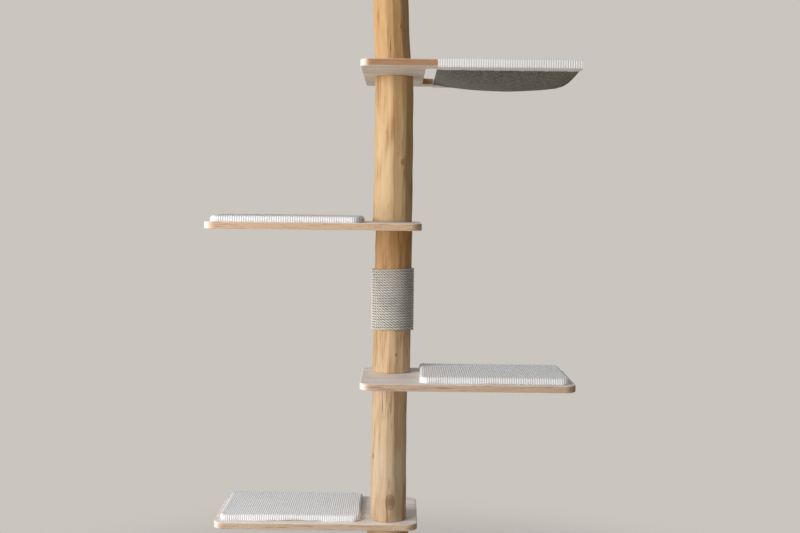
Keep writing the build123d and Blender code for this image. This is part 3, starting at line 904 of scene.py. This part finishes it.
@dataclass
class Pad:
    """A flat cushion in its cover, of the sizes of its CAD cover."""

    length: float = 395 * MM
    width: float = 258 * MM
    thickness: float = 20 * MM
    corner: float = 24 * MM
    draw: float = 3 * MM
    roll: float = 9 * MM
    crown: float = 2.5 * MM

    def columns(self, count):
        """Columns evenly spread over the cloth: place, share of thickness, distance across the ribs."""
        flat = self.length / 2 - self.roll
        quarter = pi / 2 * self.roll
        across = np.linspace(-(flat + quarter), flat + quarter, count)
        over = np.clip((np.abs(across) - flat) / quarter, 0, 1) * pi / 2
        place = np.sign(across) * (np.minimum(np.abs(across), flat) + self.roll * np.sin(over))
        return place, np.cos(over), across

    def half_width(self, place):
        """Half the width at a distance from the middle, drawn in between rounded corners."""
        straight = self.length / 2 - self.corner
        beyond = np.clip(np.abs(place) - straight, 0, self.corner)
        drawn = self.draw * (1 - np.clip(np.abs(place) / straight, 0, 1) ** 2)
        return self.width / 2 - drawn - self.corner + np.sqrt(np.maximum(self.corner**2 - beyond**2, 0))

    def form(self, columns, half_rows):
        """The smooth closed pad from its front edge on, and each point's distance across the ribs."""
        place, fullness, across = self.columns(columns)
        half_width = self.half_width(place)
        roll_rows = max(half_rows // 6, 3)
        swing = np.linspace(0, pi / 2, roll_rows + 1)
        flat_rows = half_rows - 2 * roll_rows
        edge, lift = 1 - np.cos(swing), np.sin(swing)
        y, level = [], []
        for half, full in zip(half_width, fullness):
            inner = half - self.roll
            front = -half + self.roll * edge
            middle = np.linspace(-inner, inner, flat_rows + 1)[1:-1]
            y.append(np.concatenate([front, middle, -front[::-1]]))
            rise = np.concatenate([lift, np.ones(len(middle)), lift[::-1]])
            level.append(rise * max(full, 0.06))
        y, level = np.array(y), np.array(level)
        half_height = (self.thickness - self.crown) / 2
        along = (np.abs(place) / (self.length / 2))[:, None]
        inside = np.clip(1 - (y / (self.width / 2)) ** 2, 0, 1)
        bulge = inside * np.clip(1 - along**2, 0, 1)
        top = half_height * (1 + level) + self.crown * bulge**0.6
        bottom = half_height * (1 - level**0.35)
        drawn = self.draw * inside * along**6
        x = place[:, None] - np.sign(place)[:, None] * drawn
        upper = np.stack([x, y, top], -1)
        lower = np.stack([x, y, bottom], -1)[:, 1:-1][:, ::-1]
        points = np.concatenate([upper, lower], 1)
        return points, np.repeat(across[:, None], points.shape[1], 1)

    def faces(self, columns, rows):
        """All round the pad, with a strip that closes each end."""
        half = rows // 2
        faces = grid_faces(columns, rows, round_columns=True)
        last = (columns - 1) * rows
        for here in range(half):
            upper, lower = here, (rows - here) % rows
            next_upper, next_lower = here + 1, rows - here - 1
            strip = list(dict.fromkeys([upper, next_upper, next_lower, lower]))
            if len(strip) > 2:
                faces.append(tuple(strip))
                faces.append(tuple(last + number for number in reversed(strip)))
        return faces


def swollen(pad, most, seed):
    """How the cloth of a pad moves when it is filled, by cloth simulation on a coarse copy."""
    points, _ = pad.form(*FILLING_GRID)
    columns, rows = points.shape[:2]
    draw = np.random.default_rng(seed)
    start = points.copy()
    start[:, :, 2] += smoothed(draw.normal(0, FILLING_UNEVENNESS, (columns, rows, 1)), 2)[:, :, 0]
    coarse = make_piece("filling", start, pad.faces(columns, rows))
    held = coarse.vertex_groups.new(name="held")
    held.add(np.nonzero(points[:, :, 2].ravel() < 0.4 * MM)[0].tolist(), 1.0, "REPLACE")
    cloth = coarse.modifiers.new("Cloth", "CLOTH")
    for name, value in FILLING_CLOTH.items():
        setattr(cloth.settings, name, value)
    cloth.settings.effector_weights.gravity = 0
    cloth.point_cache.frame_start, cloth.point_cache.frame_end = 1, FILLING_FRAMES
    scene = bpy.context.scene
    for number in range(1, FILLING_FRAMES + 1):
        scene.frame_set(number)
    filled = coarse.evaluated_get(bpy.context.evaluated_depsgraph_get()).to_mesh()
    after = np.empty(len(filled.vertices) * 3)
    filled.vertices.foreach_get("co", after)
    scene.frame_set(1)
    bpy.data.objects.remove(coarse)
    moved = after.reshape(points.shape) - points
    size = np.linalg.norm(moved, axis=-1, keepdims=True)
    return moved * (most * np.tanh(size / most) / np.maximum(size, 1e-9))


def cushion_foot(node):
    """Middle of a cushion's underside, from the box of its CAD cover."""
    low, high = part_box(node)
    return Vector(((low.x + high.x) / 2, (low.y + high.y) / 2, low.z))


def make_cushion(name, sizes, finish, thread, ribs, stitches, turned, seed):
    """One cushion: its pad, filled and ribbed, and the seam at each end."""
    pad = Pad()
    half_cloth = pad.columns(2)[2][1]
    rib_count = 2 * round(half_cloth / sizes.rib_pitch)
    columns = rib_count * CUSHION_RIB_POINTS + 1
    points, across = pad.form(columns, CUSHION_HALF_ROWS)
    rows = points.shape[1]
    moved = swollen(pad, sizes.cushion_puff, seed)
    moved = smoothed(resampled(moved, columns, rows), 6)
    points = points + moved
    points[:, :, 2] = np.maximum(points[:, :, 2], 0.05 * MM)
    if turned:
        points = points * [-1, -1, 1]
    foot = cushion_foot(f"{name}_cushion_cover")
    points = points + np.array(foot)
    attributes = {"across": across, "pile": np.ones(across.shape)}
    piece = make_piece(f"{name}_cushion", points, pad.faces(columns, rows), None, attributes)
    values = {"Pitch": 2 * across[-1, 0] / rib_count, "Height": sizes.rib_height, "Material": finish}
    ribs.grow(piece, values)
    place_piece(piece, f"{name}_cushion", "corduroy", f"{name}_cushion_cover", f"{name}_cushion_foam")
    half = rows // 2
    for side, column in (("left", 0), ("right", columns - 1)):
        seam = (points[column, 2:half - 1] + points[column, rows - 2:half + 1:-1]) / 2
        outward = np.sign(seam[0, 0] - foot.x)
        seam[:, 0] += outward * 0.4 * MM
        title = f"{name}_cushion_seam_{side}"
        make_seam(title, f"{name}_cushion", seam, sizes, 0.85, stitches, thread)


class CATTREE_OT_cushions(bpy.types.Operator):
    """Corduroy cushions on the three shelves"""

    bl_idname = "cattree.cushions"
    bl_label = "Cushions"

    def execute(self, context):
        sizes, colours = context.scene.cat_tree_sizes, context.scene.cat_tree_colours
        finish, thread = corduroy_finish(colours), thread_finish(colours)
        ribs, stitches = corduroy_tree(), stitch_tree()
        for seed, (name, turned) in enumerate((("lower", False), ("middle", True), ("upper", False)), 11):
            make_cushion(name, sizes, finish, thread, ribs, stitches, turned, seed)
        return {"FINISHED"}


# Hammock

CLOTH = 1.6 * MM
TROUGH_EDGE = 195.95 * MM
TROUGH_SAG = 31.5 * MM
TROUGH_END_SAG = 5.5 * MM
TROUGH_FULLNESS = 0.45
TROUGH_LEAN = 5 * MM
ARM_INNER = 198 * MM
ARM_OUTER = 255 * MM
HAMMOCK_RIB_POINTS = 6
BED_ROWS = 40
FELT_DROP = 4.7 * MM
FELT_HALF = 1.3 * MM


def trough_top():
    """Level of the bed's two edges, a quarter of the way up the board."""
    low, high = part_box("hammock_frame")
    return low.z + (high.z - low.z) / 4


def trough_sag(share):
    """Depth of the hammock's bed at shares of its length."""
    fullness = np.maximum(np.sin(pi * np.clip(share, 0, 1)), 0) ** TROUGH_FULLNESS
    return TROUGH_END_SAG + (TROUGH_SAG - TROUGH_END_SAG) * fullness + TROUGH_LEAN * (share - 0.5)


def bed_height(top, share, y):
    """Height of the bed on one arc from sleeve to sleeve."""
    sag = trough_sag(share)
    radius = (TROUGH_EDGE**2 + sag**2) / (2 * sag)
    return top - sag + radius - np.sqrt(radius**2 - np.minimum(np.abs(y), TROUGH_EDGE) ** 2)


def rounded_path(corners, step):
    """Points along straight runs joined by round corners, given as (y, z, corner radius)."""
    points = []
    for number, (y, z, radius) in enumerate(corners):
        here = np.array([y, z])
        if radius == 0:
            points.append(here)
            continue
        before = np.array(corners[number - 1][:2]) - here
        after = np.array(corners[number + 1][:2]) - here
        before /= np.linalg.norm(before)
        after /= np.linalg.norm(after)
        start, end = here + before * radius, here + after * radius
        for share in np.linspace(0, 1, 5):
            points.append((1 - share) ** 2 * start + 2 * share * (1 - share) * here + share**2 * end)
    path = [points[0]]
    for point in points[1:]:
        gap = np.linalg.norm(point - path[-1])
        count = max(int(round(gap / step)), 1)
        start = path[-1]
        path += [start + (point - start) * part / count for part in range(1, count + 1)]
    return np.array(path)


def sleeve_path(bottom, top):
    """Across one sleeve, from its seam below the arm round the outside to the edge of the bed."""
    inner, outer = ARM_INNER - 1.6 * MM, ARM_OUTER + 1.7 * MM
    low, high = bottom - 3.6 * MM, top + 1.5 * MM
    return rounded_path([
        (inner + 0.3 * MM, bottom + 3.2 * MM, 0),
        (inner + 1.2 * MM, low + 1.4 * MM, 2.5 * MM),
        ((inner + outer) / 2, low - 0.9 * MM, 6 * MM),
        (outer - 0.6 * MM, low + 1.6 * MM, 4 * MM),
        (outer, (low + high) / 2 + 2 * MM, 3 * MM),
        (outer - 0.2 * MM, high - 0.4 * MM, 3.6 * MM),
        ((inner + outer) / 2, high, 8 * MM),
        (inner + 0.4 * MM, high - 0.2 * MM, 3.2 * MM),
        (inner, bottom + 4.5 * MM, 0),
    ], 2.4 * MM)


def hammock_sheet(columns):
    """The corduroy as a grid: columns across the ribs, rows from one seam to the other."""
    frame_low, frame_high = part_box("hammock_frame")
    cloth_low, cloth_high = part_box("hammock_cloth")
    bottom, top = frame_low.z, frame_high.z
    x = np.linspace(cloth_low.x + 0.4 * MM, cloth_high.x - 0.4 * MM, columns)
    share = (x - cloth_low.x) / (cloth_high.x - cloth_low.x)
    back = sleeve_path(bottom, top)
    front = back * [-1, 1]
    bed_y = np.linspace(-TROUGH_EDGE, TROUGH_EDGE, BED_ROWS + 2)[1:-1]
    rows = len(front) + len(bed_y) + len(back)
    grid = np.empty((columns, rows, 3))
    grid[:, :, 0] = x[:, None]
    grid[:, :len(front), 1:] = front
    grid[:, len(front):-len(back), 1] = bed_y
    grid[:, len(front):-len(back), 2] = bed_height(trough_top(), share[:, None], bed_y[None, :])
    grid[:, -len(back):, 1:] = back[::-1]
    return grid, len(front)


def hammock_waves(grid, sleeve_rows):
    """Slack in the sleeves and soft pulls in the bed."""
    x = grid[:, :, 0]
    start, end = x.min(), x.max()
    share = (x - start) / (end - start)
    rows = grid.shape[1]
    row = np.arange(rows)[None, :]
    below = np.exp(-((np.minimum(row, rows - 1 - row) - 9) / 6.0) ** 2)
    ripple = np.sin(37 * share + 1.1) + 0.7 * np.sin(71 * share + 0.4) + 0.5 * np.sin(113 * share)
    grid[:, :, 2] += below * 0.42 * MM * ripple
    side = np.sign(grid[:, :, 1])
    grid[:, :, 1] += side * below * 0.3 * MM * np.sin(53 * share + 2)
    inside = (row > sleeve_rows) & (row < rows - sleeve_rows)
    y_share = np.clip(np.abs(grid[:, :, 1]) / TROUGH_EDGE, 0, 1)
    pull = np.sin(pi * share) * (1 - y_share**2)
    fold = np.sin(9 * share + 5 * y_share) + 0.6 * np.sin(17 * share - 8 * y_share)
    grid[:, :, 2] += np.where(inside, pull * 0.8 * MM * fold, 0)
    return grid


def closed_sheet(name, outer, inner, attributes):
    """Two grids of the same shape as the two sides of one sheet, joined along all edges."""
    columns, rows = outer.shape[:2]
    count = columns * rows
    faces = grid_faces(columns, rows, flip=True) + grid_faces(columns, rows, first=count)
    grid = np.arange(count).reshape(columns, rows)
    sides = [grid[:, 0], grid[-1, 1:], grid[-2::-1, -1], grid[0, -2:0:-1]]
    rim = np.concatenate(sides).tolist()
    for here, there in zip(rim, rim[1:] + rim[:1]):
        faces.append((here, there, there + count, here + count))
    points = np.concatenate([outer.reshape(-1, 3), inner.reshape(-1, 3)])
    return make_piece(name, points, faces, None, attributes)


def grid_normals(grid):
    """Upright direction at each point of a grid of points."""
    along = np.gradient(grid, axis=0)
    across = np.gradient(grid, axis=1)
    normal = np.cross(along, across)
    return normal / np.linalg.norm(normal, axis=-1, keepdims=True)


def make_hammock_cloth(sizes, finish, thread):
    """Corduroy round both arms and across the bed, and its seams."""
    low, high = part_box("hammock_cloth")
    rib_count = round((high.x - low.x) / sizes.rib_pitch)
    grid, sleeve_rows = hammock_sheet(rib_count * HAMMOCK_RIB_POINTS + 1)
    middle = hammock_waves(grid, sleeve_rows)
    normal = grid_normals(middle)
    outer = middle + normal * CLOTH / 2
    inner = middle - normal * CLOTH / 2
    ribbed = np.concatenate([np.ones(outer.shape[:2]).ravel(), np.zeros(inner.shape[:2]).ravel()])
    across = np.tile((middle[:, :, 0] - middle[0, 0, 0]).ravel(), 2)
    cloth = closed_sheet("hammock_corduroy", outer, inner, {"across": across, "pile": ribbed})
    pitch = float(middle[-1, 0, 0] - middle[0, 0, 0]) / rib_count
    corduroy_tree().grow(cloth, {"Pitch": pitch, "Height": sizes.rib_height * 0.85, "Material": finish})
    place_piece(cloth, "hammock", "corduroy", "hammock_cloth")
    stitches = stitch_tree()
    for side, row in (("front", 2), ("back", middle.shape[1] - 3)):
        seam = outer[HAMMOCK_RIB_POINTS:-HAMMOCK_RIB_POINTS:HAMMOCK_RIB_POINTS, row]
        make_seam(f"sleeve_seam_{side}", "hammock", seam, sizes, 0.8, stitches, thread)


def make_hammock_felt(finish):
    """The grey layer below the bed."""
    low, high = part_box("hammock_felt")
    cloth_low, cloth_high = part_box("hammock_cloth")
    x = np.linspace(low.x + 0.2 * MM, high.x - 0.2 * MM, 131)
    y = np.linspace(low.y, high.y, 91)
    share = ((x - cloth_low.x) / (cloth_high.x - cloth_low.x))[:, None]
    middle = np.empty((len(x), len(y), 3))
    middle[:, :, 0] = x[:, None]
    middle[:, :, 1] = y[None, :]
    y_share = np.abs(y)[None, :] / TROUGH_EDGE
    fold = np.sin(8 * share + 4 * y_share) + 0.5 * np.sin(19 * share)
    wave = np.sin(pi * share) * (1 - y_share**2) * fold
    middle[:, :, 2] = bed_height(trough_top(), share, y[None, :]) - FELT_DROP + 0.5 * MM * wave
    half = grid_normals(middle) * FELT_HALF
    felt = closed_sheet("hammock_felt_underside", middle + half, middle - half, {})
    felt.data.materials.append(finish)
    place_piece(felt, "hammock", "grey_felt", "hammock_felt")


class CATTREE_OT_hammock(bpy.types.Operator):
    """Corduroy sleeves and bed of the hammock with the felt below"""

    bl_idname = "cattree.hammock"
    bl_label = "Hammock"

    def execute(self, context):
        sizes, colours = context.scene.cat_tree_sizes, context.scene.cat_tree_colours
        make_hammock_cloth(sizes, corduroy_finish(colours), thread_finish(colours))
        make_hammock_felt(felt_finish(colours))
        return {"FINISHED"}


# Metal and pads

AROUND_SPINDLE = 32
AROUND_SCREW = 36
SCREW_CIRCLE = 33 * MM


def zinc_finish(colours):
    """Bright zinc plating with faint spangle and handling marks."""
    make = Finish("zinc_plated_steel")
    place = make.place()
    spangle = make.node("ShaderNodeTexVoronoi", None, {"Vector": place, "Scale": 260.0}, "Color")
    cloudy = make.noise(place, 60, 3, 0.6)
    scratch = make.noise(make.stretched(place, 1, 1, 14), 180, 2, 0.5)
    colour = make.blend(0.12, colours.zinc, spangle, "OVERLAY")
    colour = make.tinted(colour, (cloudy, 0.35, 0.75, 0.4, (150, 150, 146)))
    rough = make.fade(cloudy * 0.6 + scratch * 0.4, 0.3, 0.75, 0.24, 0.46)
    values = {"Base Color": colour, "Metallic": 1.0, "Roughness": rough}
    return make.shade(values, scratch, 0.05 * MM, 0.4)


def rubber_finish(colours):
    make = Finish("pad_rubber")
    grit = make.noise(make.place(), 900, 3, 0.65)
    dust = make.noise(make.place(), 24, 3, 0.6)
    colour = make.tinted(tuple(colours.rubber), (grit, 0.4, 0.75, 0.5, (86, 85, 84)),
                         (dust, 0.5, 0.8, 0.25, (120, 116, 110)))
    return make.shade({"Base Color": colour, "Roughness": 0.9}, grit, 0.25 * MM, 0.7)


def thread_tree():
    """Cuts a screw thread into an upright bar."""
    grow = Growth("screw_thread", {"Pitch": "length", "Depth": "length", "Foot": "length",
                                   "Head": "length", "Material": "material"})
    x, y, z = grow.parts(grow.node("GeometryNodeInputPosition"))
    turn = grow.maths("ARCTAN2", y, x) / (2 * pi)
    phase = grow.maths("FRACT", z / grow.input("Pitch") - turn)
    groove = abs(phase * 2 - 1)
    ends = grow.fade(z, grow.input("Foot"), grow.input("Foot") + 2 * MM)
    ends = ends * grow.fade(z, grow.input("Head"), grow.input("Head") - 2 * MM)
    outward = grow.vector("NORMALIZE", grow.joined(x, y, 0.0))
    offset = grow.scaled(outward, groove * grow.input("Depth") * ends * -1)
    cut = grow.node("GeometryNodeSetPosition", None, {0: grow.input("Geometry"), "Offset": offset})
    grow.close(cut)
    return grow


def make_spindle(sizes, finish):
    """The threaded spindle that pushes the ceiling plate up."""
    low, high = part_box("spindle")
    radius = (high.x - low.x) / 2
    heights = np.arange(low.z, high.z, sizes.thread_pitch / 6)[:, None]
    reach = np.minimum(radius, radius - 1.2 * MM + (heights - low.z))
    points = circle(reach, directions(AROUND_SPINDLE), heights)
    spindle = make_piece("threaded_spindle", points, closed_tube(points))
    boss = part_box("spindle_flange")[0].z
    thread_tree().grow(spindle, {"Pitch": sizes.thread_pitch, "Depth": sizes.thread_depth,
                                 "Foot": low.z + 2 * MM, "Head": boss + 4 * MM, "Material": finish})
    place_piece(spindle, "ceiling_support", "zinc_steel", "spindle")


def screw_pattern(finish):
    """One countersunk screw with a six-lobed recess, its head up at the origin."""
    angles = directions(AROUND_SCREW)
    lobes = 1.55 * MM + 0.28 * MM * np.cos(6 * angles)
    rings = [(0.01 * MM, -1.5), (lobes * 0.96, -1.5), (lobes, -0.08), (lobes + 0.08 * MM, 0), (4.1 * MM, 0),
             (4.45 * MM, -0.16), (2.5 * MM, -2.45), (2.5 * MM, -15), (0.3 * MM, -16)]
    points = np.array([circle(reach, angles, depth * MM) for reach, depth in rings])
    screw = make_piece("screw_pattern", points, closed_tube(points, flip=True), finish)
    screw.data.shade_flat()
    return screw


def screws_tree():
    """One screw on each point, each turned as it happened to stop."""
    grow = Growth("driven_screws", {"Screw": "object", "Seed": "whole", "Head down": "float",
                                    "Material": "material"})
    pattern = grow.node("GeometryNodeObjectInfo", None, {"Object": grow.input("Screw")}, "Geometry")
    spin = grow.node("FunctionNodeRandomValue", {"data_type": "FLOAT"},
                     {"Min": 0.0, "Max": 6.283, "Seed": grow.input("Seed")}, 1)
    rotation = grow.joined(grow.input("Head down") * pi, 0.0, spin)
    points = grow.node("GeometryNodeMeshToPoints", None, {0: grow.input("Geometry")})
    values = {"Points": points, "Instance": pattern, "Rotation": rotation}
    grow.close(grow.node("GeometryNodeInstanceOnPoints", None, values), smooth=False)
    return grow


def make_screws(name, body, face, head_down, pattern, finish):
    """The four screws of a flange or collar."""
    places = circle(SCREW_CIRCLE, pi / 4 + directions(4), face)
    screws = make_piece(f"{name}_screw_heads", places, ())
    values = {"Screw": pattern, "Seed": 5, "Head down": head_down, "Material": finish}
    screws_tree().grow(screws, values)
    place_piece(screws, body, "zinc_steel", f"{name}_screws")


class CATTREE_OT_fittings(bpy.types.Operator):
    """Spindle, nuts, flange, collar, studs and screws, and the pads"""

    bl_idname = "cattree.fittings"
    bl_label = "Fittings"

    def execute(self, context):
        sizes, colours = context.scene.cat_tree_sizes, context.scene.cat_tree_colours
        zinc, rubber = zinc_finish(colours), rubber_finish(colours)
        for node in ("base_bolt", "base_washer", "insert_nuts", "joint_studs", "thrust_collar",
                     "thrust_washer", "adjusting_nut", "lock_nut", "spindle_flange"):
            dress(node, zinc)
        for node in ("floor_mat", "ceiling_pad"):
            dress(node, rubber)
        make_spindle(sizes, zinc)
        pattern = screw_pattern(zinc)
        collar_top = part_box("thrust_collar")[1].z
        flange_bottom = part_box("flange_screws")[0].z
        make_screws("collar", "column", collar_top, 0.0, pattern, zinc)
        make_screws("flange", "ceiling_support", flange_bottom, 1.0, pattern, zinc)
        bpy.data.objects.remove(pattern)
        return {"FINISHED"}


# Studio

CAMERA_PLACE = (0.023, -3.055, 1.328)
CAMERA_DOWN = 3.46
CAMERA_ROLL = 0.65
AROUND_FLOOR = 96
FLOOR_RINGS = (0.5, 1.0, 1.4, 1.8, 2.2)


def make_camera(scene):
    """Where the photograph was taken from."""
    camera = bpy.data.objects.new("camera", bpy.data.cameras.new("camera"))
    scene.collection.objects.link(camera)
    camera.data.lens = 50
    camera.data.sensor_width = 36
    camera.data.clip_end = 60
    tilt = Matrix.Rotation(radians(90 - CAMERA_DOWN), 4, "X")
    roll = Matrix.Rotation(radians(CAMERA_ROLL), 4, "Z")
    camera.matrix_world = Matrix.Translation(CAMERA_PLACE) @ tilt @ roll
    scene.camera = camera


def make_light(scene, name, place, target, size, power, colour):
    light = bpy.data.lights.new(name, "AREA")
    light.shape = "RECTANGLE"
    light.size, light.size_y = size
    light.energy = power
    light.color = colour
    lamp = bpy.data.objects.new(name, light)
    scene.collection.objects.link(lamp)
    lamp.location = place
    lamp.rotation_euler = (Vector(target) - Vector(place)).to_track_quat("-Z", "Y").to_euler()


def make_world(scene, colours):
    """Even light from all round, and a plain background behind the object."""
    world = bpy.data.worlds.new("studio")
    world.use_nodes = True
    scene.world = world
    make = Recipe(world.node_tree)
    make.tree.nodes.clear()
    seen = make.node("ShaderNodeLightPath", None, None, "Is Camera Ray")
    right, _, up = make.parts(make.node("ShaderNodeTexCoord", None, None, "Generated"))
    light = make.blend(make.fade(up, -0.6, 0.5), paint(255, 240, 214), paint(248, 251, 255))
    light = make.blend(make.fade(right, -1, 1), light, paint(140, 138, 136), "MULTIPLY")
    room = make.node("ShaderNodeBackground", None, {"Color": light, "Strength": 0.6})
    wall = make.node("ShaderNodeBackground", None, {"Color": tuple(colours.backdrop), "Strength": 1.0})
    both = make.node("ShaderNodeMixShader", None, {0: seen, 1: room, 2: wall})
    make.node("ShaderNodeOutputWorld", None, {"Surface": both})


def make_floor():
    """A pale round floor that melts into the background."""
    rings = np.array(FLOOR_RINGS)[:, None]
    points = circle(rings, directions(AROUND_FLOOR), 0 * rings).reshape(-1, 3)
    points = np.concatenate([[[0, 0, 0]], points])
    faces = [(0, 1 + number, 1 + (number + 1) % AROUND_FLOOR) for number in range(AROUND_FLOOR)]
    faces += grid_faces(len(rings), AROUND_FLOOR, round_columns=True, first=1, flip=True)
    make = Finish("studio_floor")
    place = make.place()
    away = make.vector("LENGTH", place, output=1)
    speckle = make.noise(place, 90, 2)
    colour = make.blend(make.fade(speckle, 0.3, 0.7, 0, 0.05), paint(214, 209, 202), paint(200, 195, 188))
    make.shade({"Base Color": colour, "Roughness": 0.9, "Alpha": make.fade(away, 0.7, 1.9, 1.0, 0.0)})
    floor = make_piece("studio_floor", points, faces, make.material)


class CATTREE_OT_stage(bpy.types.Operator):
    """Camera, soft studio light and a plain pale floor"""

    bl_idname = "cattree.stage"
    bl_label = "Stage"

    def execute(self, context):
        scene = context.scene
        scene.view_settings.view_transform = "Standard"
        make_camera(scene)
        make_world(scene, scene.cat_tree_colours)
        make_floor()
        make_light(scene, "window", (-2.75, -2.0, 1.9), (0, 0, 1.3), (1.8, 2.6), 120, (1.0, 0.995, 0.985))
        make_light(scene, "bounce", (1.2, -3.2, 0.7), (0, 0, 1.2), (2.5, 1.6), 4, (1.0, 0.98, 0.96))
        return {"FINISHED"}


# Add-on


class CATTREE_PT_panel(bpy.types.Panel):
    """Lists the pieces of the cat tree and what may be changed"""

    bl_idname = "CATTREE_PT_panel"
    bl_label = "Cat tree"
    bl_space_type = "VIEW_3D"
    bl_region_type = "UI"
    bl_category = "Cat tree"

    def draw(self, context):
        for operator in OPERATORS:
            self.layout.operator(operator.bl_idname)
        for group in (context.scene.cat_tree_sizes, context.scene.cat_tree_colours):
            box = self.layout.box()
            for name in group.__annotations__:
                box.prop(group, name)


OPERATORS = [CATTREE_OT_stage, CATTREE_OT_trunk, CATTREE_OT_boards, CATTREE_OT_rope, CATTREE_OT_cushions,
             CATTREE_OT_hammock, CATTREE_OT_fittings]
CLASSES = [TreeSizes, TreeColours, *OPERATORS, CATTREE_PT_panel]


def register():
    for each in CLASSES:
        bpy.utils.register_class(each)
    bpy.types.Scene.cat_tree_sizes = bpy.props.PointerProperty(type=TreeSizes)
    bpy.types.Scene.cat_tree_colours = bpy.props.PointerProperty(type=TreeColours)


def unregister():
    del bpy.types.Scene.cat_tree_colours
    del bpy.types.Scene.cat_tree_sizes
    for each in reversed(CLASSES):
        bpy.utils.unregister_class(each)


def main():
    register()
    bpy.ops.cattree.stage()
    bpy.ops.cattree.trunk()
    bpy.ops.cattree.boards()
    bpy.ops.cattree.rope()
    bpy.ops.cattree.cushions()
    bpy.ops.cattree.hammock()
    bpy.ops.cattree.fittings()


if __name__ == "__main__":
    main()
